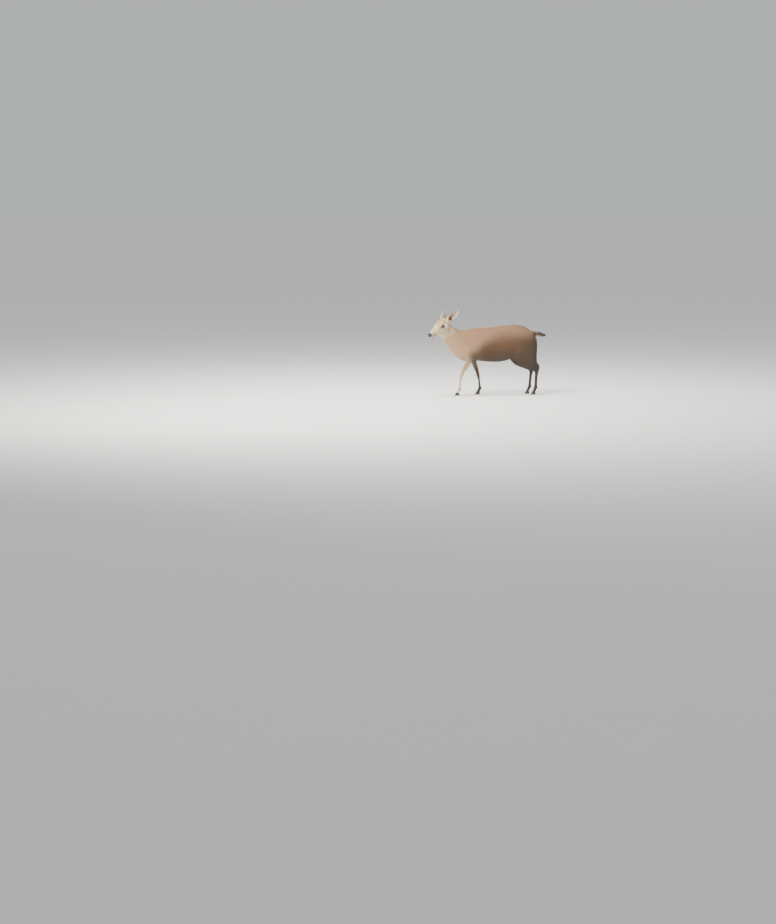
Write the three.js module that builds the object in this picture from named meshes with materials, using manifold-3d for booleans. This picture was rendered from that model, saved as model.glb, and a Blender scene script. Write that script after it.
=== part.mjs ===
// A small forest deer, a muntjac doe, as a life-size model in mid stride.
// Millimetres, +Z up. The animal faces -X and its left side is towards -Y.
// Flesh is made of closed tubes through sections. The upper legs are part of the body and are
// parted from it by thin cuts. The head is built level and straight in a group of its own,
// then nodded and turned.
import * as THREE from "three";
import { mergeVertices } from "three/addons/utils/BufferGeometryUtils.js";
import Module from "manifold-3d";

const wasm = await Module();
wasm.setup();

// Driving dimensions
const GAP = 0.3; // between neighbouring parts
const WITHERS = 478; // height of the shoulders
const CROUP = 497; // height of the rump, the highest point of the back
const BRISKET = 240; // height of the chest's underside
const BELLY = 231; // height of the belly's lowest point
const RIB_HALF_WIDTH = 79; // half the body's greatest width
const FORE_OFFSET = 36; // from the median plane to the middle of a fore foot
const HIND_OFFSET = 38; // and of a hind foot
const HIND_STRIDE = 29; // how far the right hind foot stands in front of the left one
const HEAD_LENGTH = 180; // from poll to nose tip
const HEAD_NOD = 27; // degrees that the head points down
const HEAD_TURN = 30; // degrees that the head turns to the left
const POLL = [-368, -8, 508]; // middle of the head between the ears
const EYE = [-66, 30.5, 13]; // an eye's middle from the poll, its side taken as positive
const EYE_RADIUS = 14;
const LID_WIDTH = 4.8; // half of it, away from the eye
const LID_RISE = 0.9; // of the middle of a lid above the eyeball
const LID_DEPTH = 2.2;
const LID_SLOPE = 28; // degrees by which a lid falls away from the eye towards the skull
const MOUTH_GAP = 1.1; // between the lips
const EAR_LENGTH = 104;
const EAR_HALF_WIDTH = 24;
const EAR_WALL = 3;
const EAR_ROOT = [-1, 33, 28]; // an ear's root from the poll
const TAIL_HALF_WIDTH = 21;
const HOOF_TOP = 21; // height of the hair line above the hooves
const HOOF_SPLIT = 0.9; // between the two hooves of a foot

const COLOURS = {
  coat: 0xa9714a,
  paleCoat: 0xc9a27c,
  darkCoat: 0x5a4030,
  horn: 0x2b2420,
  nose: 0x1c1917,
  eye: 0x120c08,
};

const rad = THREE.MathUtils.degToRad;
const vec = (x, y, z) => new THREE.Vector3(x, y, z);
const SIDES = { left: -1, right: 1 };

// Number work

// A value between b and c of four neighbours, on a smooth curve
function between(a, b, c, d, t) {
  const linear = (c - a) * t;
  const square = (2 * a - 5 * b + 4 * c - d) * t * t;
  const cube = (3 * b - a - 3 * c + d) * t * t * t;
  return 0.5 * (2 * b + linear + square + cube);
}

// Rows of numbers, with more rows put smoothly between them
function refine(rows, steps) {
  const out = [];
  const last = rows.length - 1;
  for (let i = 0; i < last; i++) {
    const near = [Math.max(i - 1, 0), i, i + 1, Math.min(i + 2, last)];
    const [a, b, c, d] = near.map((n) => rows[n]);
    for (let k = 0; k < steps; k++) {
      out.push(b.map((_, j) => between(a[j], b[j], c[j], d[j], k / steps)));
    }
  }
  out.push(rows[last]);
  return out;
}

// Sections: a middle, two axes, across and up, and half sizes on them

// Sections given in side view by a top and a bottom point, or by a front and a back point.
// Columns: top x, top z, bottom x, bottom z, half width, taper, sideways shift, turn in degrees
function sectionsFromProfile(rows, grow = 0) {
  return rows.map(([tx, tz, bx, bz, width, taper = 0, y = 0, turn = 0]) => {
    const up = vec(tx - bx, 0, tz - bz);
    const height = up.length() / 2 + grow;
    const across = vec(-Math.sin(rad(turn)), Math.cos(rad(turn)), 0);
    const centre = vec((tx + bx) / 2, y, (tz + bz) / 2);
    return { centre, across, up: up.normalize(), width: width + grow, height, taper };
  });
}

// The points round a section. A taper above 0 widens its upper part.
function ring({ centre, across, up, width, height, taper = 0 }, sides) {
  const points = [];
  for (let i = 0; i < sides; i++) {
    const angle = (i / sides) * 2 * Math.PI;
    const point = centre.clone();
    point.addScaledVector(across, width * Math.cos(angle) * (1 + taper * Math.sin(angle)));
    point.addScaledVector(up, height * Math.sin(angle));
    points.push(point);
  }
  return points;
}

// Moves a ring's points away from its middle near each given place. A negative height makes a hollow.
function swell(points, centre, swellings) {
  for (const point of points) {
    const outward = point.clone().sub(centre).normalize();
    let rise = 0;
    for (const { at, reach, height } of swellings) {
      const x = (point.x - at[0]) / reach[0];
      const y = (Math.abs(point.y) - at[1]) / reach[1];
      const z = (point.z - at[2]) / reach[2];
      rise += height * Math.exp(-x * x - y * y - z * z);
    }
    point.addScaledVector(outward, rise);
  }
  return points;
}

// Solids

// A manifold solid from points and faces, right side out whichever way the faces run
function solid(points, faces) {
  const made = (list) =>
    new wasm.Manifold(
      new wasm.Mesh({
        numProp: 3,
        vertProperties: new Float32Array(points.flatMap((p) => [p.x, p.y, p.z])),
        triVerts: new Uint32Array(list.flat()),
      }),
    );
  const first = made(faces);
  return first.volume() > 0 ? first : made(faces.map(([a, b, c]) => [a, c, b]));
}

// The faces between two rings of points that start at two places in the list
function band(sides, start, next) {
  const faces = [];
  for (let i = 0; i < sides; i++) {
    const j = (i + 1) % sides;
    faces.push([start + i, start + j, next + j], [start + i, next + j, next + i]);
  }
  return faces;
}

// A closed skin over rings of equal count, with a fan at each end
function skin(rings) {
  const sides = rings[0].length;
  const points = rings.flat();
  const faces = rings.slice(1).flatMap((_, r) => band(sides, r * sides, (r + 1) * sides));
  const fan = (start, flip) => {
    const middle = vec(0, 0, 0);
    for (let i = 0; i < sides; i++) middle.addScaledVector(points[start + i], 1 / sides);
    const centre = points.push(middle) - 1;
    for (let i = 0; i < sides; i++) {
      const a = start + i;
      const b = start + ((i + 1) % sides);
      faces.push(flip ? [a, b, centre] : [b, a, centre]);
    }
  };
  fan(0, false);
  fan((rings.length - 1) * sides, true);
  return solid(points, faces);
}

// A ring of rings that closes on itself
function loop(rings) {
  const sides = rings[0].length;
  const next = (r) => ((r + 1) % rings.length) * sides;
  const faces = rings.flatMap((_, r) => band(sides, r * sides, next(r)));
  return solid(rings.flat(), faces);
}

// A tube through sections
function tube(sections, sides, swellings = []) {
  return skin(sections.map((s) => swell(ring(s, sides), s.centre, swellings)));
}

// A wall between two grids of points
function shell(outer, inner) {
  const columns = outer[0].length;
  const rows = outer.length;
  const index = (layer, r, c) => (layer * rows + r) * columns + c;
  const faces = [];
  const quad = (a, b, c, d) => faces.push([a, b, c], [a, c, d]);
  const end = columns - 1;
  const top = rows - 1;
  for (let r = 0; r < top; r++) {
    for (let c = 0; c < end; c++) {
      quad(index(0, r, c), index(0, r, c + 1), index(0, r + 1, c + 1), index(0, r + 1, c));
      quad(index(1, r, c), index(1, r + 1, c), index(1, r + 1, c + 1), index(1, r, c + 1));
    }
    quad(index(0, r, 0), index(0, r + 1, 0), index(1, r + 1, 0), index(1, r, 0));
    quad(index(0, r, end), index(1, r, end), index(1, r + 1, end), index(0, r + 1, end));
  }
  for (let c = 0; c < end; c++) {
    quad(index(0, 0, c), index(1, 0, c), index(1, 0, c + 1), index(0, 0, c + 1));
    quad(index(0, top, c), index(0, top, c + 1), index(1, top, c + 1), index(1, top, c));
  }
  return solid([...outer.flat(), ...inner.flat()], faces);
}

// A three.js geometry as a manifold solid
function solidOf(geometry) {
  const bare = geometry.index ? geometry.toNonIndexed() : geometry.clone();
  bare.deleteAttribute("normal");
  bare.deleteAttribute("uv");
  const merged = mergeVertices(bare, 1e-4);
  const vertProperties = merged.attributes.position.array;
  const triVerts = new Uint32Array(merged.index.array);
  return new wasm.Manifold(new wasm.Mesh({ numProp: 3, vertProperties, triVerts }));
}

function ball([x, y, z], radius) {
  return solidOf(new THREE.SphereGeometry(radius, 18, 10).translate(x, y, z));
}

// A block across the animal, from an outline in side view and two distances from the median plane
function blockFromSide(outline, nearY, farY) {
  const shape = new THREE.Shape(outline.map(([x, z]) => new THREE.Vector2(x, z)));
  const depth = farY - nearY;
  const block = new THREE.ExtrudeGeometry(shape, { depth, bevelEnabled: false });
  return solidOf(block.rotateX(Math.PI / 2).translate(0, farY, 0));
}

// A block along the animal, from an outline in front view and two places along it
function blockFromFront(outline, frontX, backX) {
  const shape = new THREE.Shape(outline.map(([y, z]) => new THREE.Vector2(y, z)));
  const depth = backX - frontX;
  const block = new THREE.ExtrudeGeometry(shape, { depth, bevelEnabled: false });
  return solidOf(block.rotateX(Math.PI / 2).rotateZ(Math.PI / 2).translate(frontX, 0, 0));
}

function joined(solids) {
  return solids.reduce((sum, one) => sum.add(one));
}

// The largest closed body of a solid
function largest(made) {
  return made.decompose().sort((a, b) => b.volume() - a.volume())[0];
}

const group = new THREE.Group();

function add(name, made, colour, roughness = 0.85, parent = group) {
  const { vertProperties, triVerts } = made.getMesh();
  const geometry = new THREE.BufferGeometry();
  geometry.setAttribute("position", new THREE.BufferAttribute(vertProperties, 3));
  geometry.setIndex(new THREE.BufferAttribute(triVerts, 1));
  geometry.computeVertexNormals();
  const material = new THREE.MeshStandardMaterial({ color: colour, roughness, metalness: 0 });
  const mesh = new THREE.Mesh(geometry, material);
  mesh.name = name;
  parent.add(mesh);
}

// Head, in its own straight frame with the poll at the origin

const headPlace = new THREE.Matrix4()
  .makeTranslation(...POLL)
  .multiply(new THREE.Matrix4().makeRotationZ(rad(HEAD_TURN)))
  .multiply(new THREE.Matrix4().makeRotationY(rad(-HEAD_NOD)));
const head = new THREE.Group();
head.applyMatrix4(headPlace);
group.add(head);

const HEAD_PROFILE = [
  [12, 42, -56, -76, 39, 0],
  [-6, 48, -68, -70, 41, 0.02],
  [-26, 50, -79, -63, 42, 0.1],
  [-46, 48, -89, -55, 42, 0.18],
  [-64, 44, -98, -48, 40, 0.24],
  [-82, 39, -107, -42.5, 35.5, 0.24],
  [-100, 34, -117, -38, 30, 0.15],
  [-118, 29.5, -129, -34, 24.5, 0.04],
  [-136, 26, -142, -30, 21.5, 0],
  [-152, 23, -155, -26.5, 19.8, 0],
  [-164, 20, -165.5, -22.5, 18.8, 0],
  [-173, 15.5, -173.5, -17, 17, 0],
  [-178.3, 10, -178.3, -11, 13, 0],
  [-HEAD_LENGTH, 4, -HEAD_LENGTH, -5, 6, 0],
];
const HEAD_SWELLINGS = [
  { at: [-44, 42, -24], reach: [26, 30, 22], height: 5 }, // cheek
  { at: [-60, 30, 36], reach: [26, 16, 12], height: 5.5 }, // brow
  { at: [-94, 28, 4], reach: [12, 16, 10], height: -3.5 }, // hollow in front of the eye
  { at: [-130, 18, 6], reach: [22, 14, 10], height: -1.5 }, // side of the nose
];
const HEAD_SIDES = 28;

function headSections(grow = 0) {
  const sections = sectionsFromProfile(refine(HEAD_PROFILE, 2), grow);
  sections[0].centre.x += grow;
  return sections;
}

function headForm(grow = 0) {
  return tube(headSections(grow), HEAD_SIDES, HEAD_SWELLINGS);
}

// Eyelids: a closed ring of small sections round the eye, almond shaped from the side
function lids(side) {
  const facing = vec(-0.3, side, 0.3).normalize();
  const forward = vec(-1, -0.42 * side, -0.12).projectOnPlane(facing).normalize();
  const upward = vec(0, 0, 1).projectOnPlane(facing).projectOnPlane(forward).normalize();
  const eye = vec(EYE[0], side * EYE[1], EYE[2]);
  const halfLength = EYE_RADIUS * 1.2;
  const halfHeight = EYE_RADIUS * 0.94;
  const rings = [];
  const steps = 22;
  const sides = 6;
  for (let i = 0; i < steps; i++) {
    const angle = (i / steps) * 2 * Math.PI;
    const along = halfLength * Math.cos(angle);
    const high = halfHeight * Math.sin(angle) * (1 - 0.25 * Math.cos(angle) ** 2);
    const depth = Math.sqrt(EYE_RADIUS ** 2 - (0.7 * along) ** 2 - (0.78 * high) ** 2);
    const offset = vec(0, 0, 0).addScaledVector(forward, along).addScaledVector(upward, high);
    const outward = offset.clone().normalize();
    const centre = eye.clone().add(offset).addScaledVector(facing, depth + LID_RISE);
    const tilt = vec(0, 0, 0).crossVectors(facing, outward);
    const across = outward.applyAxisAngle(tilt, rad(LID_SLOPE));
    const up = facing.clone().applyAxisAngle(tilt, rad(LID_SLOPE));
    rings.push(ring({ centre, across, up, width: LID_WIDTH, height: LID_DEPTH }, sides));
  }
  return loop(rings);
}

// A nostril: a comma-shaped pit that curls up the side of the nose pad
function nostril(side) {
  const path = [
    [-180.5, 6, -1, 3.2],
    [-178.5, 9.5, 0.5, 3.2],
    [-175.5, 13.5, 4, 2.6],
    [-173.5, 15.8, 8, 1.3],
  ];
  const sections = path.map(([x, y, z, size]) => ({
    centre: vec(x, side * y, z),
    across: vec(0.55, 0.35 * side, 0.2).normalize(),
    up: vec(-0.5, side * 0.8, 0).normalize(),
    width: size * 0.75,
    height: size * 1.3,
  }));
  return tube(sections, 7);
}

// Mouth line from the lips back to the corner, then the seam of the jaw down to the throat
const MOUTH = [
  [-190, -10],
  [-170, -9.5],
  [-150, -12],
  [-122, -15],
];
const JAW_SEAM = [
  [-116, -19],
  [-100, -26],
  [-86, -38],
  [-78, -80],
];
const below = (edge) => [...edge, [-200, -80], [-200, edge[0][1]]];
const shifted = (edge, x, z) => edge.map((point) => [point[0] + x, point[1] + z]);
const HALF_HEAD = 60;
const jawSpace = blockFromSide(below([...MOUTH, ...JAW_SEAM]), -HALF_HEAD, HALF_HEAD);
const jawRoomEdge = [...shifted(MOUTH, 0, MOUTH_GAP), ...shifted(JAW_SEAM, GAP, GAP)];
const jawRoom = blockFromSide(below(jawRoomEdge), -HALF_HEAD, HALF_HEAD);

// The bare nose pad ends behind along a line that slants down to the upper lip, and from in
// front it narrows below the nostrils
const PAD_EDGE = [
  [-166, 30],
  [-168, 4],
  [-172, -20],
];
const PAD_FRONT = [
  // half width and height
  [16.4, 30],
  [16.4, 1],
  [7, -8],
  [5.5, -20],
];
const front = (edge) => [...edge, [-200, -20], [-200, 30]];
function padBlock(inset) {
  const sides = Object.values(SIDES).map((side) => {
    const edge = PAD_FRONT.map(([half, z]) => [side * (half + inset), z - inset]);
    return side < 0 ? edge : edge.reverse();
  });
  const fromFront = blockFromFront(sides.flat(), -200, -140);
  const fromSide = blockFromSide(front(shifted(PAD_EDGE, inset, 0)), -HALF_HEAD, HALF_HEAD);
  return fromSide.intersect(fromFront);
}
const padSpace = padBlock(0);
const padRoom = padBlock(GAP);

const eyes = Object.values(SIDES).map((side) => [EYE[0], side * EYE[1], EYE[2]]);
const sockets = joined(eyes.map((eye) => ball(eye, EYE_RADIUS + GAP)));
const face = joined([headForm(), ...Object.values(SIDES).map(lids)])
  .subtract(sockets)
  .subtract(joined(Object.values(SIDES).map(nostril)));
add("head", largest(face.subtract(jawRoom).subtract(padRoom)), COLOURS.coat, 0.85, head);
add("lower_jaw", largest(face.intersect(jawSpace)), COLOURS.paleCoat, 0.85, head);
add("nose_pad", largest(face.intersect(padSpace).subtract(jawRoom)), COLOURS.nose, 0.4, head);
Object.keys(SIDES).forEach((name, i) => {
  add("eye_" + name, ball(eyes[i], EYE_RADIUS), COLOURS.eye, 0.1, head);
});

// Torso and neck, from the rump to the head

const BODY_PROFILE = [
  [276, 408, 279, 366, 18, 0],
  [263, 431, 277, 334, 42, 0],
  [241, 453, 262, 306, 54, 0],
  [208, 475, 224, 290, 64, -0.05],
  [165, CROUP - 6, 174, 278, 69, -0.1],
  [110, CROUP, 114, 257, 72, -0.16],
  [50, CROUP - 2, 50, BELLY + 6, RIB_HALF_WIDTH - 2, -0.2],
  [-10, CROUP - 8, -12, BELLY, RIB_HALF_WIDTH, -0.22],
  [-70, WITHERS + 3, -75, BELLY + 3, RIB_HALF_WIDTH - 3, -0.24],
  [-125, WITHERS + 1, -131, BRISKET, RIB_HALF_WIDTH - 9, -0.26],
  [-175, WITHERS - 2, -182, BRISKET, RIB_HALF_WIDTH - 17, -0.26],
  [-220, WITHERS - 9, -224, BRISKET - 1, RIB_HALF_WIDTH - 25, -0.22],
  [-260, WITHERS - 13, -274, BRISKET + 13, 49, -0.12],
  [-287, WITHERS - 9, -316, BRISKET + 48, 44, -0.02],
  [-314, WITHERS + 5, -363, BRISKET + 96, 40, 0.04],
  [-344, WITHERS + 30, -395, BRISKET + 143, 38, 0.08, -2, 10],
].map((row) => [...row, 0, 0].slice(0, 8));
const BODY_SWELLINGS = [
  { at: [140, 74, 470], reach: [60, 60, 40], height: 5 }, // hip
  { at: [75, 80, 300], reach: [40, 60, 60], height: -5 }, // flank
  { at: [-190, 60, 455], reach: [50, 60, 40], height: 4 }, // shoulder blade
];
const BODY_STEPS = 2;
const BODY_SIDES = 32;
const NECK_ROW = BODY_STEPS * 12; // refined profile row at which the neck leaves the torso
const bodyRows = refine(BODY_PROFILE, BODY_STEPS);

function torsoForm(grow = 0) {
  const sections = sectionsFromProfile(bodyRows.slice(0, NECK_ROW + 1), grow);
  return tube(sections, BODY_SIDES, BODY_SWELLINGS);
}

function placed(section) {
  return {
    ...section,
    centre: section.centre.clone().applyMatrix4(headPlace),
    across: section.across.clone().transformDirection(headPlace),
    up: section.up.clone().transformDirection(headPlace),
  };
}

// The neck starts a gap in front of the torso's end and runs on into the head, which it is then
// cut clear of. It ends in a section from the nape to the throat, in the head's own frame.
const NECK_END = [10, 40, -84, -54, 38, 0.08];
function neckForm(grow = 0) {
  const sections = sectionsFromProfile(bodyRows.slice(NECK_ROW), grow);
  sections[0].centre.x -= GAP;
  const [last] = sectionsFromProfile([NECK_END], grow);
  return tube([...sections, placed(last)], BODY_SIDES);
}

const headRoom = headForm(GAP).transform(headPlace.elements);
add("neck", largest(neckForm().subtract(headRoom)), COLOURS.paleCoat);

// Ears: a cupped wall that is nearly a pipe at its root and opens towards the tip.
// Columns: place along the ear, half width as a share, half angle of the curl in degrees
const EAR_PROFILE = [
  [-0.18, 0.5, 156],
  [0, 0.6, 150],
  [0.08, 0.71, 142],
  [0.17, 0.83, 130],
  [0.27, 0.94, 114],
  [0.38, 1, 98],
  [0.49, 1, 85],
  [0.6, 0.94, 75],
  [0.71, 0.81, 65],
  [0.81, 0.63, 55],
  [0.9, 0.42, 45],
  [0.96, 0.24, 38],
  [1, 0.09, 30],
];
const EAR_COLUMNS = 10;
const EAR_AXIS = [0.5, 0.64, 0.72]; // backwards, outwards and upwards
const EAR_OPENING = [-0.55, 0.8, 0]; // forwards and outwards
const EAR_FOOT = [
  // distance from the root along the ear, radius
  [-26, 10],
  [-12, 12],
  [0, 13],
  [5, 9],
];

// One side of the ear's wall, as a grid of points
function earSurface(root, along, opening, inner) {
  const across = along.clone().cross(opening);
  return EAR_PROFILE.map(([place, share, curl]) => {
    const half = rad(curl);
    const wall = EAR_WALL * (0.45 + 0.55 * Math.sqrt(1 - 0.95 * place));
    const radius = (EAR_HALF_WIDTH * share) / Math.sin(Math.min(half, Math.PI / 2));
    const out = radius - (inner ? wall : 0);
    const bow = 6 * Math.sin(place * Math.PI);
    const centre = root.clone().addScaledVector(along, EAR_LENGTH * place);
    centre.addScaledVector(opening, (radius - EAR_HALF_WIDTH * 0.6) * place - bow);
    const points = [];
    for (let i = 0; i <= EAR_COLUMNS; i++) {
      const squeeze = inner ? 1 - wall / (3 * radius) : 1;
      const angle = half * squeeze * ((2 * i) / EAR_COLUMNS - 1);
      const point = centre.clone().addScaledVector(across, out * Math.sin(angle));
      points.push(point.addScaledVector(opening, -out * Math.cos(angle)));
    }
    return points;
  });
}

// A short cone out of the head that closes the ear's root
function earFoot(root, along) {
  const across = vec(1, 0, 0).projectOnPlane(along).normalize();
  const up = along.clone().cross(across);
  const sections = EAR_FOOT.map(([far, size]) => {
    const centre = root.clone().addScaledVector(along, far);
    return { centre, across, up, width: size, height: size };
  });
  return tube(sections, 14);
}

// A direction given level, as it points once the head is nodded
function nodded([x, y, z], side) {
  return vec(x, side * y, z).applyAxisAngle(vec(0, 1, 0), rad(HEAD_NOD)).normalize();
}

const fromHead = headPlace.clone().invert();
const grownHead = headForm(GAP).add(neckForm(GAP).transform(fromHead.elements));
for (const [name, side] of Object.entries(SIDES)) {
  const root = vec(EAR_ROOT[0], side * EAR_ROOT[1], EAR_ROOT[2]);
  const along = nodded(EAR_AXIS, side);
  const opening = nodded(EAR_OPENING, side).projectOnPlane(along).normalize();
  const walls = [false, true].map((inner) => earSurface(root, along, opening, inner));
  const made = shell(...walls).add(earFoot(root, along));
  add("ear_" + name, largest(made.subtract(grownHead)), COLOURS.darkCoat, 0.85, head);
}

// Legs

// Forelegs: sections stand square to a smooth line through the joints.
// Columns: place on the line in joints, half sizes to the front and back, half width, and how
// far the limb leans out there from where its foot stands
const FORE_PROFILE = [
  [0, 28, 32, 14, -6],
  [0.5, 36, 42, 22, 0],
  [1, 37, 46, 25, 3],
  [1.5, 33, 38, 23, 4],
  [2, 27, 26, 19.5, 4],
  [2.35, 21, 20, 16, 3.5],
  [2.65, 16, 16, 13.2, 3],
  [2.88, 13.5, 13, 12.3, 2.5],
  [3, 14, 13, 13.2, 2],
  [3.14, 12.5, 12, 11.8, 2],
  [3.35, 9.6, 10, 9, 1.5],
  [3.7, 9.4, 10, 8.8, 1],
  [3.9, 11, 12.5, 10.6, 0.5],
  [4, 11.8, 14, 11.8, 0.5],
  [4.3, 11, 12.5, 11.4, 0],
  [4.65, 12, 12, 11.8, 0],
  [5, 14.5, 14, 13, 0],
];
// Joints in side view: shoulder blade, shoulder, elbow, knee, fetlock and the hooves' hair line
const FORE_JOINTS = {
  left: [
    [-205, 400],
    [-216, 330],
    [-208, 262],
    [-266, 146],
    [-282, 50],
    [-292, HOOF_TOP],
  ],
  right: [
    [-195, 400],
    [-196, 330],
    [-172, 260],
    [-133, 143],
    [-121, 50],
    [-131, HOOF_TOP],
  ],
};

function foreSections(name) {
  const joints = FORE_JOINTS[name];
  const points = joints.map(([x, z]) => vec(x, SIDES[name] * FORE_OFFSET, z));
  const line = new THREE.CatmullRomCurve3(points, false, "catmullrom", 0.4);
  return refine(FORE_PROFILE, 2).map(([place, frontSize, backSize, width, lean]) => {
    const t = place / (joints.length - 1);
    const centre = line.getPoint(t).add(vec(0, SIDES[name] * lean, 0));
    const across = vec(0, 1, 0);
    const up = across.clone().cross(line.getTangent(t)).normalize();
    centre.addScaledVector(up, (frontSize - backSize) / 2);
    return { centre, across, up, width, height: (frontSize + backSize) / 2 };
  });
}

// Hind legs: columns are front x and z, back x and z, half width and lean, of the left leg in
// side view
const HIND_PROFILE = [
  [168, 404, 234, 432, 14, -11],
  [142, 372, 258, 416, 24, -5],
  [115, 332, 275, 382, 31, 3],
  [104, 285, 279, 334, 32.5, 4],
  [110, 242, 277, 279, 28.5, 4],
  [152, 208, 277, 243, 22, 4],
  [200, 188, 284, 222, 16.5, 3],
  [238, 174, 293, 211, 13.5, 2],
  [257, 162, 296, 193, 13, 2],
  [261, 145, 289, 162, 11.6, 1.5],
  [260, 122, 283, 128, 9.8, 1],
  [259, 92, 281, 95, 9, 0.5],
  [257, 66, 280, 70, 9.6, 0],
  [254, 50, 282, 55, 12, 0],
  [249, 34, 275, 41, 11.4, 0],
  [242, 22, 271, 26, 12.6, 0],
];
const HIND_PIVOT = 580; // height about which the right hind leg swings forward

function hindSections(name) {
  const stride = name === "right" ? HIND_STRIDE : 0;
  const shift = (z) => -stride * (1 - z / HIND_PIVOT);
  const rows = refine(HIND_PROFILE, 2).map(([fx, fz, bx, bz, width, lean]) => {
    const y = SIDES[name] * (HIND_OFFSET + lean);
    return [fx + shift(fz), fz, bx + shift(bz), bz, width, 0, y];
  });
  return sectionsFromProfile(rows);
}

// Where each leg is parted, as a profile row, and the outline of its upper part in side view
const LEGS = {
  foreleg: {
    sections: foreSections,
    rows: [0, 5, 9, 12, 16],
    lengths: ["upper_arm", "forearm", "cannon", "foot"],
    outline: [
      [-150, 190],
      [-120, 262],
      [-128, 330],
      [-158, 392],
      [-200, 420],
      [-238, 402],
      [-256, 350],
      [-262, 290],
      [-285, 262],
      [-285, 190],
    ],
  },
  hindleg: {
    sections: hindSections,
    rows: [0, 5, 9, 12, 15],
    lengths: ["thigh", "shank", "cannon", "foot"],
    outline: [
      [76, 190],
      [76, 262],
      [96, 335],
      [128, 398],
      [176, 436],
      [226, 440],
      [262, 416],
      [300, 380],
      [300, 190],
    ],
  },
};
const LEG_SIDES = 14;
const CORE_HALF_WIDTH = 9; // half of what the torso keeps between two legs

// A half space of solid beyond a section, on the side that the section's line runs to
function beyond({ centre, across, up }, offset) {
  const size = 160;
  const down = up.clone().cross(across);
  const turn = new THREE.Matrix4().makeBasis(across, up, down.clone().negate());
  const middle = centre.clone().addScaledVector(down, size / 2 + offset);
  return solidOf(new THREE.BoxGeometry(size, size, size).applyMatrix4(turn.setPosition(middle)));
}

// Hoof: columns are top x and z, bottom x and z, half width and distance from the leg's middle
const HOOF_PROFILE = [
  [11, 15, 11, -4, 3.4, 5.2],
  [7, 22, 7, -5, 5.4, 5.6],
  [0, 27, 0, -6, 6.4, 5.8],
  [-8, 26, -9, -6, 6.4, 5.8],
  [-16, 15, -17, -5, 5.4, 5.4],
  [-21.5, 7, -22.5, -4, 3.6, 4.6],
  [-25, 2.4, -25.5, -2, 1.2, 3.4],
];
// Dewclaw: distance along a line that runs back and down from the fetlock, radius
const DEWCLAW_PROFILE = [
  [0, 4.2],
  [6, 4.3],
  [10.5, 3.6],
  [13.5, 2.2],
  [15, 0.9],
];

function hoof(foot, y, side) {
  const { x } = foot.centre;
  const rows = HOOF_PROFILE.map(([tx, tz, bx, bz, width, far]) => {
    return [x + tx, tz, x + bx, bz, width, 0, y + side * far];
  });
  const form = tube(sectionsFromProfile(rows), 12);
  const room = new THREE.BoxGeometry(80, 40, 80).translate(x, y + side * (20 + HOOF_SPLIT / 2), 40);
  return largest(form.intersect(solidOf(room)).intersect(beyond(foot, GAP)));
}

function dewclaw(fetlock, y, side, foot) {
  const line = vec(0.62, side * 0.18, -0.78).normalize();
  const across = vec(0, 1, 0).projectOnPlane(line).normalize();
  const up = line.clone().cross(across);
  const root = fetlock.centre.clone().addScaledVector(fetlock.up, -5);
  root.y = y + side * 7;
  const sections = DEWCLAW_PROFILE.map(([far, size]) => {
    const centre = root.clone().addScaledVector(line, far);
    return { centre, across, up, width: size, height: size };
  });
  return largest(tube(sections, 8).subtract(foot));
}

let body = torsoForm();
const legRooms = [];
const uppers = [];
for (const [kind, { sections, rows, lengths, outline }] of Object.entries(LEGS)) {
  for (const [name, side] of Object.entries(SIDES)) {
    const leg = kind + "_" + name;
    const all = sections(name);
    const end = all[all.length - 1];
    const { y } = end.centre;
    const stretch = (from, to, grow = 0) => {
      const part = all.slice(2 * from, 2 * to + 1).map((s) => {
        return { ...s, width: s.width + grow, height: s.height + grow };
      });
      const down = part[0].up.clone().cross(part[0].across);
      const first = { ...part[0], centre: part[0].centre.clone().addScaledVector(down, GAP) };
      return tube(from ? [first, ...part.slice(1)] : part, LEG_SIDES);
    };
    body = body.add(stretch(rows[0], rows[1]));
    const far = side * 120;
    const near = side * CORE_HALF_WIDTH;
    const space = (inset) => {
      const from = near - side * inset;
      return blockFromSide(grown(outline, inset), Math.min(from, far), Math.max(from, far));
    };
    legRooms.push(space(GAP));
    uppers.push([leg + "_" + lengths[0], space(0)]);
    for (let i = 1; i < lengths.length; i++) {
      add(leg + "_" + lengths[i], stretch(rows[i], rows[i + 1]), COLOURS.coat);
    }
    const fetlock = all[2 * rows[3] + 2];
    const grownFoot = stretch(rows[3], rows[4], GAP).add(stretch(rows[2], rows[3], GAP));
    for (const [place, across] of [["inner", -side], ["outer", side]]) {
      add(`${leg}_hoof_${place}`, hoof(end, y, across), COLOURS.horn, 0.5);
      add(`${leg}_dewclaw_${place}`, dewclaw(fetlock, y, across, grownFoot), COLOURS.horn, 0.5);
    }
  }
}

// An outline with each point moved away from its middle
function grown(outline, distance) {
  const points = outline.map(([x, z]) => new THREE.Vector2(x, z));
  const middle = points.reduce((sum, p) => sum.add(p), new THREE.Vector2());
  middle.divideScalar(points.length);
  return points.map((p) => {
    const moved = p.clone().sub(middle);
    return moved.setLength(moved.length() + distance * 1.3).add(middle).toArray();
  });
}

for (const [name, space] of uppers) add(name, largest(body.intersect(space)), COLOURS.coat);
add("torso", largest(body.subtract(joined(legRooms))), COLOURS.coat);

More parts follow.
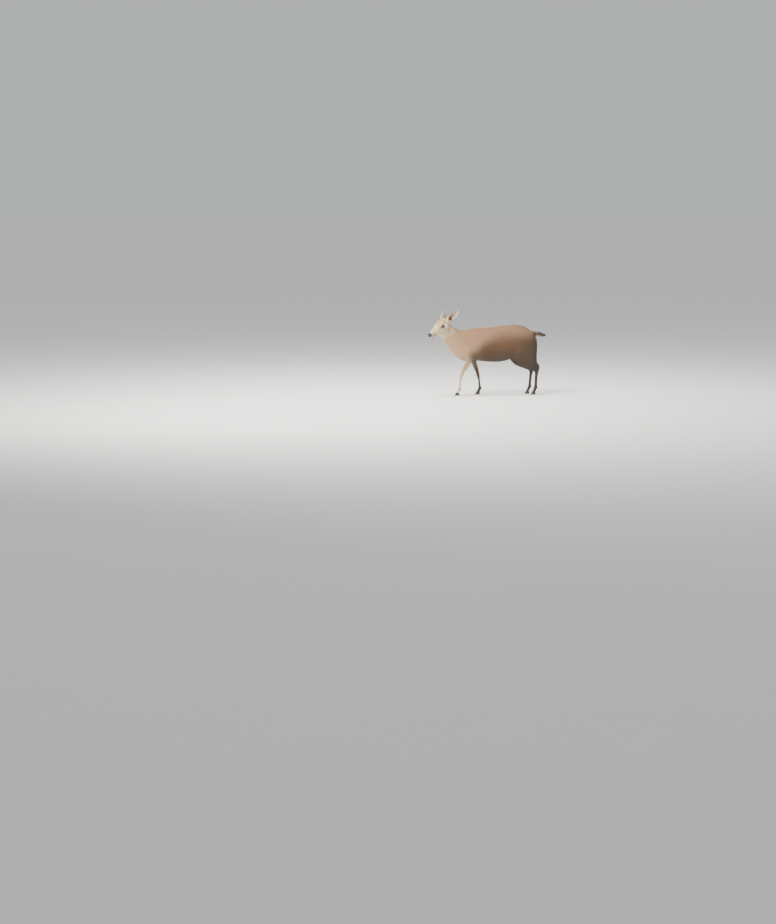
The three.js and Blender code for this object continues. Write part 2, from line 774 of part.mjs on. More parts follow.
// Tail, out to the tips of its hair: wider than it is thick, with a round tip.
// Columns: top x and z, bottom x and z, half width
const TAIL_PROFILE = [
  [228, 450, 222, 424, 9],
  [252, 446, 245, 410, TAIL_HALF_WIDTH - 7],
  [282, 440, 277, 401, TAIL_HALF_WIDTH - 2],
  [307, 436, 305, 399, TAIL_HALF_WIDTH],
  [327, 431, 328, 401, TAIL_HALF_WIDTH - 4],
  [340, 426, 342, 408, TAIL_HALF_WIDTH - 11],
  [347, 421, 349, 413, 3],
];
const tail = tube(sectionsFromProfile(refine(TAIL_PROFILE, 2)), 16);
add("tail", largest(tail.subtract(torsoForm(GAP))), COLOURS.darkCoat);

// The origin is below the middle of the animal, on the floor
group.updateMatrixWorld(true);
const middle = new THREE.Box3().setFromObject(group, true).getCenter(vec(0, 0, 0));
group.position.set(-middle.x, -middle.y, 0);

export default group;
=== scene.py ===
import math

import bmesh
import bpy
import numpy as np
from mathutils import Matrix, Vector


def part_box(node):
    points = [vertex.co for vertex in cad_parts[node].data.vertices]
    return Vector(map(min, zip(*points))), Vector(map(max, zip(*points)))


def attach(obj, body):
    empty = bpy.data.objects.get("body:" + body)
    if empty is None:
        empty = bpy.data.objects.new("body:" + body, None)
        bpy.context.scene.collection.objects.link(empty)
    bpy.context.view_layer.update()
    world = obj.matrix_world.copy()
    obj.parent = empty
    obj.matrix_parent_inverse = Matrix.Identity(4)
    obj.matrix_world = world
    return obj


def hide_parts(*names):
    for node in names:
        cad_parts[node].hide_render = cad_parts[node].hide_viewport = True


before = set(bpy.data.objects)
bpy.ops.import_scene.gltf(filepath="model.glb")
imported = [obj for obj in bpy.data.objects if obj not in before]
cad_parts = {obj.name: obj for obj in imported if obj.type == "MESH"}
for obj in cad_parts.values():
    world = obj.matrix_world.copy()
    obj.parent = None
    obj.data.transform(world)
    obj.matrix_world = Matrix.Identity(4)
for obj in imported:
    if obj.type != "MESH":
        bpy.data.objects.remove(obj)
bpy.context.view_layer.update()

SEED = 11
rng = np.random.default_rng(SEED)
MM = 0.001

# Places on the animal, in millimetres of its own drawing, whose origin is on the floor below
# the middle of the back. The head has a frame of its own with the poll at its origin.
HEAD_TURN = math.radians(30)
HEAD_NOD = math.radians(27)
POLL = Vector((-368, -8, 508))
EYE_MIDDLE = Vector((-66, 0, 13))
EAR_ROOT = Vector((-1, 33, 28))
EAR_AXIS = Vector((0.5, 0.64, 0.72))
EAR_OPENING = Vector((-0.55, 0.8, 0))
SIDES = {"left": -1, "right": 1}
TAIL_LINE = [(218, 440), (248, 432), (278, 427), (302, 424), (320, 421), (334, 418)]
TAIL_RADII = [19, 18, 16, 13, 9, 4.5]
MERGE_DISTANCE = 1e-6  # points of a copied mesh closer than this are one


def node_middle(name):
    low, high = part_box(name)
    return (low + high) / 2


eye_centres = {side: node_middle("eye_" + side) for side in SIDES}
eye_low, eye_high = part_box("eye_left")
EYE_RADIUS = (eye_high.z - eye_low.z) / 2
head_turned = Matrix.Rotation(HEAD_TURN, 3, "Z") @ Matrix.Rotation(-HEAD_NOD, 3, "Y")
poll = (eye_centres["left"] + eye_centres["right"]) / 2 - head_turned @ (EYE_MIDDLE * MM)
drawing_origin = poll - POLL * MM
head_axes = np.array(head_turned)


def place(x, y, z):
    """A point of the drawing, in metres of the scene."""
    return drawing_origin + Vector((x, y, z)) * MM


def in_head(points):
    """Scene points as millimetres in the head's own frame."""
    return (points - np.array(poll)) @ head_axes / MM


def from_head(points):
    return points * MM @ head_axes.T + np.array(poll)


def in_drawing(points):
    return (points - np.array(drawing_origin)) / MM


def smooth_step(low, high, values):
    """0 at the low value, 1 at the high one, smooth between."""
    share = np.clip((values - low) / (high - low), 0, 1)
    return share * share * (3 - 2 * share)


def unit(vectors):
    return vectors / np.maximum(np.linalg.norm(vectors, axis=-1, keepdims=True), 1e-9)


# Objects and their meshes

def new_object(name, mesh):
    made = bpy.data.objects.new(name, mesh)
    bpy.context.scene.collection.objects.link(made)
    return made


def only(made):
    """Selects one object alone."""
    bpy.ops.object.select_all(action="DESELECT")
    made.select_set(True)
    bpy.context.view_layer.objects.active = made


def apply(made, kind, **settings):
    only(made)
    modifier = made.modifiers.new(kind.lower(), kind)
    for name, value in settings.items():
        setattr(modifier, name, value)
    bpy.ops.object.modifier_apply(modifier=modifier.name)


def coordinates(made, kind="co"):
    flat = np.empty(len(made.data.vertices) * 3, np.float32)
    made.data.vertices.foreach_get(kind, flat)
    return flat.reshape(-1, 3).astype(float)


def normals(made):
    return coordinates(made, "normal")


def move_to(made, points):
    made.data.vertices.foreach_set("co", points.astype(np.float32).ravel())
    made.data.update()


def merged_copy(name, nodes, swell=0.0):
    """Copies of CAD nodes in one mesh, each swollen a little so that neighbours meet."""
    whole = bmesh.new()
    for node in nodes:
        part = bmesh.new()
        part.from_mesh(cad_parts[node].data)
        bmesh.ops.remove_doubles(part, verts=part.verts, dist=MERGE_DISTANCE)
        part.normal_update()
        for vertex in part.verts:
            vertex.co += vertex.normal * swell
        mesh = bpy.data.meshes.new("part")
        part.to_mesh(mesh)
        part.free()
        whole.from_mesh(mesh)
        bpy.data.meshes.remove(mesh)
    mesh = bpy.data.meshes.new(name)
    whole.to_mesh(mesh)
    whole.free()
    return new_object(name, mesh)


def edit(made, *steps):
    """Runs operators with their settings on the whole of a mesh."""
    only(made)
    bpy.ops.object.mode_set(mode="EDIT")
    bpy.ops.mesh.select_all(action="SELECT")
    for operator, settings in steps:
        operator(**settings)
    bpy.ops.object.mode_set(mode="OBJECT")


def keep_largest(made):
    """Drops loose scraps and sealed hollows."""
    edit(made, (bpy.ops.mesh.separate, {"type": "LOOSE"}))
    parts = sorted(bpy.context.selected_objects, key=lambda part: -len(part.data.vertices))
    name = made.name
    for part in parts[1:]:
        bpy.data.objects.remove(part)
    parts[0].name = name
    return parts[0]


def remeshed(made, voxel, smoothing):
    apply(made, "REMESH", mode="VOXEL", voxel_size=voxel)
    made = keep_largest(made)
    apply(made, "SMOOTH", factor=0.5, iterations=smoothing)
    return made


def shade_smooth(made):
    made.data.polygons.foreach_set("use_smooth", np.ones(len(made.data.polygons), bool))


def finished(made, material, replaced=()):
    made.data.materials.clear()
    made.data.materials.append(material)
    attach(made, "root")
    if replaced:
        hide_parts(*replaced)
    return made


def tube_mesh(name, rings, loop=False):
    """A tube over rings of points, closed to a loop or with a fan at each end."""
    count, sides, _ = np.shape(rings)
    total = count * sides
    points = [tuple(point) for ring in rings for point in ring]
    faces = []
    for start in range(0, total if loop else total - sides, sides):
        for i in range(sides):
            j = (i + 1) % sides
            corners = (start + i, start + j, start + sides + j, start + sides + i)
            faces.append(tuple(corner % total for corner in corners))
    if not loop:
        points += [tuple(np.mean(rings[0], 0)), tuple(np.mean(rings[-1], 0))]
        for i in range(sides):
            j = (i + 1) % sides
            faces.append((j, i, total))
            faces.append((total - sides + i, total - sides + j, total + 1))
    mesh = bpy.data.meshes.new(name)
    mesh.from_pydata(points, [], faces)
    return mesh


def outward(made):
    """Merges a mesh's doubles and turns its faces out."""
    edit(
        made,
        (bpy.ops.mesh.remove_doubles, {"threshold": MERGE_DISTANCE}),
        (bpy.ops.mesh.normals_make_consistent, {"inside": False}),
    )


# Materials

class Value:
    """A socket that takes part in Python expressions, each of which adds a Math node."""

    def __init__(self, tree, socket):
        self.tree = tree
        self.socket = socket

    def math(self, operation, *others):
        node = self.tree.nodes.new("ShaderNodeMath")
        node.operation = operation
        for slot, value in zip(node.inputs, others):
            if isinstance(value, Value):
                self.tree.links.new(value.socket, slot)
            else:
                slot.default_value = value
        return Value(self.tree, node.outputs[0])

    def __add__(self, other):
        return self.math("ADD", self, other)

    __radd__ = __add__

    def __sub__(self, other):
        return self.math("SUBTRACT", self, other)

    def __rsub__(self, other):
        return self.math("SUBTRACT", other, self)

    def __mul__(self, other):
        return self.math("MULTIPLY", self, other)

    __rmul__ = __mul__

    def __truediv__(self, other):
        return self.math("DIVIDE", self, other)

    def __abs__(self):
        return self.math("ABSOLUTE", self)

    def power(self, other):
        return self.math("POWER", self, other)


class Finish:
    """A material with its nodes and one shader."""

    def __init__(self, name, **constants):
        self.material = bpy.data.materials.new(name)
        self.material.use_nodes = True
        self.tree = self.material.node_tree
        self.shader = self.tree.nodes["Principled BSDF"]
        for socket, value in constants.items():
            self.shader.inputs[socket.replace("_", " ")].default_value = value

    def node(self, kind, settings=None, sockets=None, out=0):
        """Any node: its settings are set first, then its sockets' values or links."""
        node = self.tree.nodes.new(kind)
        for name, value in (settings or {}).items():
            setattr(node, name, value)
        for name, value in (sockets or {}).items():
            if isinstance(value, Value):
                self.tree.links.new(value.socket, node.inputs[name])
            else:
                node.inputs[name].default_value = value
        return Value(self.tree, node.outputs[out])

    def feed(self, socket, value):
        self.tree.links.new(value.socket, self.shader.inputs[socket])

    def where(self):
        return self.node("ShaderNodeTexCoord", out="Object")

    def axes(self, vector):
        node = self.node("ShaderNodeSeparateXYZ", sockets={"Vector": vector})
        outputs = node.socket.node.outputs
        return [Value(self.tree, outputs[axis]) for axis in "XYZ"]

    def vector_math(self, operation, vector, other, out="Value"):
        sockets = {0: vector, 1: tuple(other)}
        return self.node("ShaderNodeVectorMath", {"operation": operation}, sockets, out)

    def along(self, vector, point, directions):
        """How far a vector lies past a point in each of some directions."""
        offset = self.vector_math("SUBTRACT", vector, point, "Vector")
        return [self.vector_math("DOT_PRODUCT", offset, way) for way in directions]

    def near(self, vector, point, inner, outer):
        """1 within the inner distance of a point, falling smoothly to 0 at the outer one."""
        return self.ramp(self.vector_math("DISTANCE", vector, point), outer, inner)

    def ramp(self, value, low, high):
        """0 at the low value, 1 at the high one, smooth between."""
        sockets = {
            "Value": value,
            "From Min": min(low, high),
            "From Max": max(low, high),
            "To Min": float(low > high),
            "To Max": float(low < high),
        }
        return self.node("ShaderNodeMapRange", {"interpolation_type": "SMOOTHSTEP"}, sockets)

    def noise(self, vector, scale, detail=3.0, roughness=0.55, stretch=None):
        if stretch:
            vector = self.node("ShaderNodeMapping", sockets={"Vector": vector, "Scale": stretch})
        sockets = {"Vector": vector, "Scale": scale, "Detail": detail, "Roughness": roughness}
        return self.node("ShaderNodeTexNoise", sockets=sockets)

    def mix(self, share, first, second):
        """A colour between two others."""
        sockets = {"Factor": share, 6: rgba(first), 7: rgba(second)}
        return self.node("ShaderNodeMix", {"data_type": "RGBA"}, sockets, 2)

    def bump(self, height, strength, distance):
        sockets = {"Height": height, "Strength": strength, "Distance": distance}
        self.feed("Normal", self.node("ShaderNodeBump", sockets=sockets))


def rgba(colour):
    """A display colour in red, green and blue as the linear one that a socket takes."""
    if isinstance(colour, Value):
        return colour
    return tuple(((c + 0.055) / 1.055) ** 2.4 if c > 0.04 else c / 12.92 for c in colour) + (1.0,)


# Painted light on the shoulder and the front of the trunk
LIT_SHOULDER = (0.89, 0.71, 0.56)
# The back is painted lighter, as if lit from above, and the low flank darker as painted shade, over the
# coat's own tan
LIT_BACK = (0.87, 0.70, 0.55)
FLANK = (0.55, 0.40, 0.28)
SHADED_LOW_FLANK = (0.36, 0.27, 0.19)
NECK = (0.92, 0.76, 0.59)
THROAT = (0.95, 0.83, 0.66)
CHEEK = (0.90, 0.81, 0.66)
MUZZLE = (0.72, 0.66, 0.54)
CROWN = (0.83, 0.71, 0.55)
# Painted shade under the belly, whose own coat is paler
SHADED_BELLY = (0.37, 0.32, 0.25)
DARK_LEG = (0.24, 0.19, 0.15)
DARK_HAIR = (0.17, 0.12, 0.09)
PALE_HAIR = (0.90, 0.82, 0.68)
# Painted shade on the hind thigh and the rear of the rump, darker than the coat's own brown there
SHADED_THIGH = (0.31, 0.24, 0.17)
SHADED_RUMP = (0.20, 0.17, 0.13)
EAR_BACK = (0.52, 0.44, 0.36)
EAR_INSIDE = (0.76, 0.66, 0.58)
# Painted light on the outer side of the forelegs, down to the feet
LIT_FORELEG = (0.86, 0.76, 0.62)
FORE_FOOT = (0.84, 0.77, 0.65)
TAIL_TOP = (0.37, 0.30, 0.23)
TAIL_WHITE = (0.84, 0.81, 0.75)
CHIN = (0.90, 0.85, 0.74)
PATCH_SCALE = 9.0
PATCH_DRIFT = 0.05  # how far patches of noise shift the edges of the markings


def head_point(x, y, z):
    return from_head(np.array([[x, y, z]], float))[0]


def drawn_x(x):
    """The scene's x for one of the drawing."""
    return place(x, 0, 0).x


# Where one colour gives way to the next: heights in metres, or places along the drawing
# FLANK_EDGE and BACK_EDGE place the painted shade on the low flank and the painted light on the back
FLANK_EDGE = (0.25, 0.38)
BACK_EDGE = (0.35, 0.48)
# The edge of the painted light on the shoulder; the trunk below and behind it is left in painted shade
SHOULDER_EDGE = (0.39, 0.51)  # of a height that falls towards the tail by the slope below
SHOULDER_SLOPE = 0.7
NECK_EDGE = (-180, -310)
# Edges of the painted shade on the hind thigh and the rump
THIGH_EDGE = (60, 250)  # at a height of THIGH_LEAN / THIGH_SLOPE, and further back above it
THIGH_SLOPE = 0.35
THIGH_LEAN = 0.12
THIGH_TOP = (0.46, 0.36)
RUMP_EDGE = (225, 285)
RUMP_TOP = (0.47, 0.42)
# Where the painted shade under the belly lies
BELLY_SIDE = (0.052, 0.03)
BELLY_TOP = (0.30, 0.25)
BELLY_FRONT = (-220, -150)

# The front of throat and chest runs down and back through a point of the drawing, and hair grows
# darker with the distance from it in metres, measured square to it
CHEST_TOP = (-395, 0, 383)
CHEST_SLOPE = (0.72, 0.69)
CHEST_EDGE = (0.085, -0.005)


def markings(finish):
    """The coat's colour anywhere on the animal, with painted light and painted shade on the trunk and
    forelegs.
    """
    where = finish.where()
    x, y, z = finish.axes(where)
    patches = finish.noise(where, PATCH_SCALE, 4.0)
    drift = (patches - 0.5) * PATCH_DRIFT
    high = z + drift

    # Painted light and shade: darker low on the flank and lighter on the back, as under light from
    # above
    colour = finish.mix(finish.ramp(high, *FLANK_EDGE), SHADED_LOW_FLANK, FLANK)
    colour = finish.mix(finish.ramp(high, *BACK_EDGE), colour, LIT_BACK)
    # Painted light on the shoulder, bounded by a slanting edge
    shade = z - (x - drawing_origin.x) * SHOULDER_SLOPE + drift * 1.5
    colour = finish.mix(finish.ramp(shade, *SHOULDER_EDGE), colour, LIT_SHOULDER)
    neck = finish.ramp(x + drift, *map(drawn_x, NECK_EDGE))
    colour = finish.mix(neck, colour, NECK)
    chest = place(*CHEST_TOP)
    behind = (x - chest.x) * CHEST_SLOPE[0] + (z - chest.z) * CHEST_SLOPE[1] + drift
    colour = finish.mix(finish.ramp(behind, *CHEST_EDGE) * 0.85, colour, THROAT)
    # Painted shade on the hind thigh and the rear of the rump
    edge = (drawn_x(at) - THIGH_LEAN for at in THIGH_EDGE)
    rear = finish.ramp(x - z * THIGH_SLOPE + drift, *edge)
    colour = finish.mix(rear * finish.ramp(high, *THIGH_TOP) * 0.8, colour, SHADED_THIGH)
    rump_shade = finish.ramp(x + drift, *map(drawn_x, RUMP_EDGE))
    colour = finish.mix(rump_shade * finish.ramp(high, *RUMP_TOP), colour, SHADED_RUMP)
    # Painted shade under the belly, behind the forelegs
    between = finish.ramp(abs(y - drawing_origin.y) + drift * 0.3, *BELLY_SIDE)
    belly_shade = finish.ramp(high, *BELLY_TOP) * between
    belly_shade = belly_shade * finish.ramp(x, *map(drawn_x, BELLY_FRONT))
    colour = finish.mix(belly_shade, colour, SHADED_BELLY)

    colour = leg_colours(finish, colour, x, y, z, drift)
    colour = tail_colours(finish, colour, x, z)
    colour = head_colours(finish, colour, where, drift)
    return ear_colours(finish, colour, where)


# Where the painted light on the outer side of the forelegs gives way to painted shade on the inner side
FORELEG_EDGE = (-70, -110)
FORELEG_OUTSIDE = (0.032, 0.041)  # from the middle of the animal
FORELEG_TOP = (0.245, 0.20)
FORELEG_FADE = (0.30, 0.17)
FORE_FOOT_EDGE = (0.16, 0.05)
SHANK_TOP = (0.27, 0.20)
SHANK_FADE = (0.27, 0.15)


def leg_colours(finish, colour, x, y, z, drift):
    """Forelegs with painted light on their outer side and painted shade on their inner one, hind shanks
    dark.
    """
    out = abs(y - drawing_origin.y)
    fore = finish.ramp(x, *map(drawn_x, FORELEG_EDGE))
    # Painted light on the outer side of each foreleg and painted shade on the inner side
    outer = finish.ramp(out + drift * 0.1, *FORELEG_OUTSIDE)
    lower = finish.ramp(z + drift * 0.6, *FORE_FOOT_EDGE)
    outside = finish.mix(lower, LIT_FORELEG, FORE_FOOT)
    inside = finish.mix(lower, SHADED_LOW_FLANK, DARK_LEG)
    fade = finish.ramp(z + drift * 0.6, *FORELEG_FADE)
    fore_leg = finish.mix(fade, LIT_SHOULDER, finish.mix(outer, inside, outside))
    shank = finish.mix(finish.ramp(z + drift, *SHANK_FADE), SHADED_THIGH, DARK_LEG)
    colour = finish.mix(fore * finish.ramp(z + drift * 0.5, *FORELEG_TOP), colour, fore_leg)
    return finish.mix((1.0 - fore) * finish.ramp(z + drift, *SHANK_TOP), colour, shank)


TAIL_EDGE = (268, 288)  # at a height of TAIL_LEAN / TAIL_SLOPE
TAIL_SLOPE = 0.4
TAIL_LEAN = 0.17
TAIL_UNDERSIDE = (0.385, 0.400)
TAIL_WHITE_EDGE = (0.419, 0.410)  # at x = 300 of the drawing


def tail_colours(finish, colour, x, z):
    """Brown above, white hair below and along the edges."""
    edge = (drawn_x(at) - TAIL_LEAN for at in TAIL_EDGE)
    tail = finish.ramp(x - z * TAIL_SLOPE, *edge) * finish.ramp(z, *TAIL_UNDERSIDE)
    white = finish.ramp(z + 0.25 * (x - drawn_x(300)), *TAIL_WHITE_EDGE)
    return finish.mix(tail, colour, finish.mix(white, TAIL_TOP, TAIL_WHITE))


# On the head, in metres of its own frame, with x back from the muzzle, which lies at -0.18
HEAD_BACK = (0.050, -0.030)
HEAD_UNDERSIDE = (-0.095, -0.035)
CHEEK_TOP = (0.036, 0.008)
MUZZLE_BACK = (-0.110, -0.150)
BRIDGE_HEIGHT = (0.016, 0.026)
BRIDGE_FRONT = (-0.155, -0.125)
KITE_SIDE = (0.024, 0.006)
KITE_FRONT = (-0.105, -0.065)
KITE_HEIGHT = (0.018, 0.032)
LIP_HEIGHT = 0.0105
LIP_EDGE = (0.0035, 0.0012)
LIP_BACK = (-0.112, -0.125)
CHIN_TOP = (-0.020, -0.034)
CHIN_BACK = (-0.04, -0.10)
GLAND_MIDDLE = (-96, 27, 2)
GLAND_REACH = (0.003, 0.009)
EYE_RING = (0.0005, 0.0035)  # past the eyeball


def head_colours(finish, colour, where, drift):
    """Pale cheeks, a darker bridge and forehead kite, and dark lips, glands and eye rings."""
    x, y, z = finish.along(where, poll, head_axes.T)
    head = finish.ramp(x + drift * 0.4, *HEAD_BACK)
    head = head * finish.ramp(z - x * 0.2 + drift, *HEAD_UNDERSIDE)
    cheek = finish.mix(finish.ramp(z + drift * 0.4, *CHEEK_TOP), CROWN, CHEEK)
    cheek = finish.mix(finish.ramp(x + drift * 0.3, *MUZZLE_BACK), cheek, MUZZLE)
    bridge = finish.ramp(z + drift * 0.2, *BRIDGE_HEIGHT) * finish.ramp(x, *BRIDGE_FRONT)
    cheek = finish.mix(bridge * 0.75, cheek, CROWN)
    kite = finish.ramp(abs(y) + (x + 0.05) * 0.12 + drift * 0.2, *KITE_SIDE)
    kite = kite * finish.ramp(x, *KITE_FRONT) * finish.ramp(z, *KITE_HEIGHT)
    cheek = finish.mix(kite * 0.4, cheek, DARK_LEG)
    lips = finish.ramp(abs(z + LIP_HEIGHT), *LIP_EDGE) * finish.ramp(x, *LIP_BACK)
    cheek = finish.mix(lips * 0.55, cheek, DARK_HAIR)
    chin = finish.ramp(z + drift * 0.3, *CHIN_TOP) * finish.ramp(x, *CHIN_BACK)
    cheek = finish.mix(chin, cheek, CHIN)
    for side in SIDES.values():
        middle = head_point(GLAND_MIDDLE[0], side * GLAND_MIDDLE[1], GLAND_MIDDLE[2])
        gland = finish.near(where, middle, *GLAND_REACH)
        cheek = finish.mix(gland * 0.7, cheek, DARK_LEG)
    for centre in eye_centres.values():
        ring = finish.near(where, centre, *(EYE_RADIUS + past for past in EYE_RING))
        cheek = finish.mix(ring * 0.7, cheek, DARK_LEG)
    return finish.mix(head, colour, cheek)


EAR_MIDDLE = 0.062  # from the root
EAR_REACH = (0.046, 0.062)


def ear_colours(finish, colour, where):
    """Dark behind, pale on the side that the ear opens to."""
    for side in SIDES.values():
        root, along, opening = ear_frame(side)
        ear = finish.near(where, root + along * EAR_MIDDLE, *EAR_REACH)
        normal = finish.node("ShaderNodeNewGeometry", out="Normal")
        inside = finish.ramp(finish.vector_math("DOT_PRODUCT", normal, opening), -0.05, 0.25)
        colour = finish.mix(ear, colour, finish.mix(inside, EAR_BACK, EAR_INSIDE))
    return colour


def ear_frame(side):
    """An ear's root, the direction to its tip and the direction that it opens to."""
    nod = Matrix.Rotation(HEAD_NOD, 3, "Y")
    along = nod @ Vector((EAR_AXIS.x, side * EAR_AXIS.y, EAR_AXIS.z))
    along = (head_turned @ along).normalized()
    opening = head_turned @ (nod @ Vector((EAR_OPENING.x, side * EAR_OPENING.y, 0)))
    opening = (opening - along * opening.dot(along)).normalized()
    root = Vector(head_point(EAR_ROOT.x, side * EAR_ROOT.y, EAR_ROOT.z))
    return root, along, opening


def skin_material():
    finish = Finish("short_coat", Sheen_Weight=0.05, Sheen_Roughness=0.5)
    colour = markings(finish)
    where = finish.where()
    fine = finish.noise(where, 420.0, 2.0, stretch=(0.3, 1.0, 0.8))
    colour = finish.mix(finish.ramp(fine, 0.35, 0.75) * 0.25, colour, DARK_HAIR)
    finish.feed("Base Color", colour)
    finish.feed("Roughness", 0.62 + fine * 0.2)
    finish.bump(fine, 0.5, 0.0012)
    return finish.material


def tuft_material():
    finish = Finish("coat_hair", Sheen_Weight=0.05, Sheen_Roughness=0.45)
    colour = markings(finish)
    tone = finish.node("ShaderNodeAttribute", {"attribute_name": "tone"}, out="Fac")
    colour = finish.mix(finish.ramp(tone, 0.5, 0.0) * 0.34, colour, DARK_HAIR)
    colour = finish.mix(finish.ramp(tone, 0.5, 1.0) * 0.22, colour, PALE_HAIR)
    strands = finish.noise(finish.where(), 900.0, 2.0, stretch=(0.3, 1.0, 1.0))
    finish.feed("Base Color", colour)
    finish.feed("Roughness", 0.5 + strands * 0.25)
    finish.bump(strands, 0.35, 0.0006)
    return finish.material


PUPIL = (0.0062, 0.0034)  # half length and half height
IRIS = 0.0105
IRIS_DEPTH = (0.006, 0.008)  # from the middle of the eye


def eye_material():
    """Dark brown with a pupil that lies level, under a wet cornea, for both eyes."""
    finish = Finish("eye", Coat_Weight=1.0, Coat_Roughness=0.03, IOR=1.38)
    where = finish.where()
    colour = (0.07, 0.04, 0.025)
    for side, centre in eye_centres.items():
        out, ahead, above = finish.along(where, centre, eye_axes(SIDES[side]))
        facing = finish.ramp(out, *IRIS_DEPTH)
        pupil = ((ahead / PUPIL[0]).power(2.0) + (above / PUPIL[1]).power(2.0)).power(0.5)
        iris = ((ahead / IRIS).power(2.0) + (above / IRIS).power(2.0)).power(0.5)
        streaks = finish.noise(where, 700.0, 2.0)
        ring = finish.mix(finish.ramp(streaks, 0.3, 0.7), (0.10, 0.055, 0.03), (0.19, 0.10, 0.05))
        ring = finish.mix(finish.ramp(iris, 0.75, 1.0), ring, (0.04, 0.025, 0.018))
        ring = finish.mix(finish.ramp(pupil, 1.08, 0.92), ring, (0.012, 0.01, 0.012))
        colour = finish.mix(facing, colour, ring)
    finish.feed("Base Color", colour)
    finish.feed("Roughness", 0.12 + finish.noise(where, 500.0, 1.0) * 0.05)
    return finish.material


def rim_material():
    finish = Finish("lid_rim", Coat_Weight=0.3, Coat_Roughness=0.25)
    grain = finish.noise(finish.where(), 900.0, 3.0)
    finish.feed("Base Color", finish.mix(grain, (0.10, 0.07, 0.055), (0.19, 0.14, 0.11)))
    finish.feed("Roughness", 0.35 + grain * 0.25)
    finish.bump(grain, 0.3, 0.0004)
    return finish.material


def nose_material():
    finish = Finish("nose_pad", Coat_Weight=0.4, Coat_Roughness=0.2)
    where = finish.where()
    cells = finish.node(
        "ShaderNodeTexVoronoi", {"feature": "DISTANCE_TO_EDGE"}, {"Vector": where, "Scale": 900.0}
    )
    pebble = finish.ramp(cells, 0.0, 0.25)
    colour = finish.mix(pebble, (0.07, 0.065, 0.06), (0.16, 0.15, 0.14))
    finish.feed("Base Color", colour)
    finish.feed("Roughness", 0.55 - pebble * 0.15)
    finish.bump(pebble, 0.4, 0.0005)
    return finish.material


def horn_material():
    finish = Finish("horn", Coat_Weight=0.12, Coat_Roughness=0.35)
    where = finish.where()
    x, _, z = finish.axes(where)
    rings = finish.noise(finish.node("ShaderNodeCombineXYZ", sockets={"Z": z + x * 0.25}), 420.0, 2.0)
    grain = finish.noise(where, 260.0, 3.0, stretch=(1.0, 1.0, 0.2))
    colour = finish.mix(grain, (0.11, 0.09, 0.075), (0.26, 0.21, 0.17))
    dust = finish.ramp(z, 0.012, 0.001)
    colour = finish.mix(dust * 0.5, colour, (0.42, 0.37, 0.31))
    finish.feed("Base Color", colour)
    finish.feed("Roughness", 0.42 + grain * 0.2)
    finish.bump(rings + grain * 0.4, 0.35, 0.0009)
    return finish.material


def floor_material():
    finish = Finish("floor", Emission_Color=(0.97, 0.98, 1.0, 1.0), Emission_Strength=0.14)
    grain = finish.noise(finish.where(), 3.0, 4.0)
    finish.feed("Base Color", finish.mix(grain, (0.865, 0.86, 0.85), (0.88, 0.875, 0.865)))
    finish.feed("Roughness", 0.8 + grain * 0.1)
    return finish.material


# Skin

nodes = sorted(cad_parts)
horn_nodes = [n for n in nodes if "hoof" in n or "dewclaw" in n]
eye_nodes = [n for n in nodes if n.startswith("eye_")]
flesh_nodes = [n for n in nodes if n not in horn_nodes and n not in eye_nodes and n != "nose_pad"]
SWELL = 0.0004
BODY_VOXEL = 0.0036
HEAD_VOXEL = 0.0016
TAIL_VOXEL = 0.0024
TAIL_SIDES = 14


def tail_core():
    """The bone and muscle of the tail, from inside the rump nearly to the tip."""
    rings = []
    angles = np.arange(TAIL_SIDES) / TAIL_SIDES * 2 * math.pi
    for (x, z), radius in zip(TAIL_LINE, TAIL_RADII):
        centre = place(x, 0, z)
        ring = [centre + Vector((0, math.cos(a), math.sin(a))) * radius * MM for a in angles]
        rings.append([tuple(point) for point in ring])
    core = new_object("tail_core", tube_mesh("tail_core", rings))
    outward(core)
    apply(core, "REMESH", mode="VOXEL", voxel_size=TAIL_VOXEL)
    return core


# How far the skin lies under the tips of the coat, in millimetres
TRUNK_DEPTH = 3.6
CHEST_DEPTH = 0.8  # more than the trunk's
LEG_DEPTH = 1.7
SKULL_DEPTH = 2.6
TAIL_DEPTH = 0.3


def skull_share(head):
    """1 on the head, by places in its own frame."""
    jaw = smooth_step(-92, -62, head[:, 2] - 0.2 * head[:, 0])
    return smooth_step(34, -6, head[:, 0]) * jaw


def coat_depth(points):
    """The skin's depth below the CAD's surface, in metres."""
    drawn = in_drawing(points)
    depth = TRUNK_DEPTH + CHEST_DEPTH * smooth_step(-130, -250, drawn[:, 0])
    leg = smooth_step(235, 150, drawn[:, 2])
    depth += leg * (LEG_DEPTH - depth)
    depth += skull_share(in_head(points)) * (SKULL_DEPTH - depth)
    tail = smooth_step(255, 275, drawn[:, 0])
    depth += tail * (TAIL_DEPTH - depth)
    return depth * MM


def smooth_where(made, weights, iterations):
    """Smooths a mesh by a weight for each of its points."""
    group = made.vertex_groups.new(name="smoothed")
    levels = np.round(np.clip(weights, 0, 1), 1)
    for level in np.unique(levels[levels > 0]):
        group.add(np.nonzero(levels == level)[0].tolist(), float(level), "REPLACE")
    apply(made, "SMOOTH", factor=0.5, iterations=iterations, vertex_group="smoothed")
    made.vertex_groups.clear()


# Passes of smoothing. The stifle's lie round a place in side view, above the shank
BODY_SMOOTHING = 6
TRUNK_SMOOTHING = 60
TRUNK_UNDERSIDE = (205, 275)
STIFLE_SMOOTHING = 90
STIFLE = (108, 268)
STIFLE_REACH = 48
STIFLE_FLOOR = 215
HEAD_SMOOTHING = 5
JOIN_SMOOTHING = 24


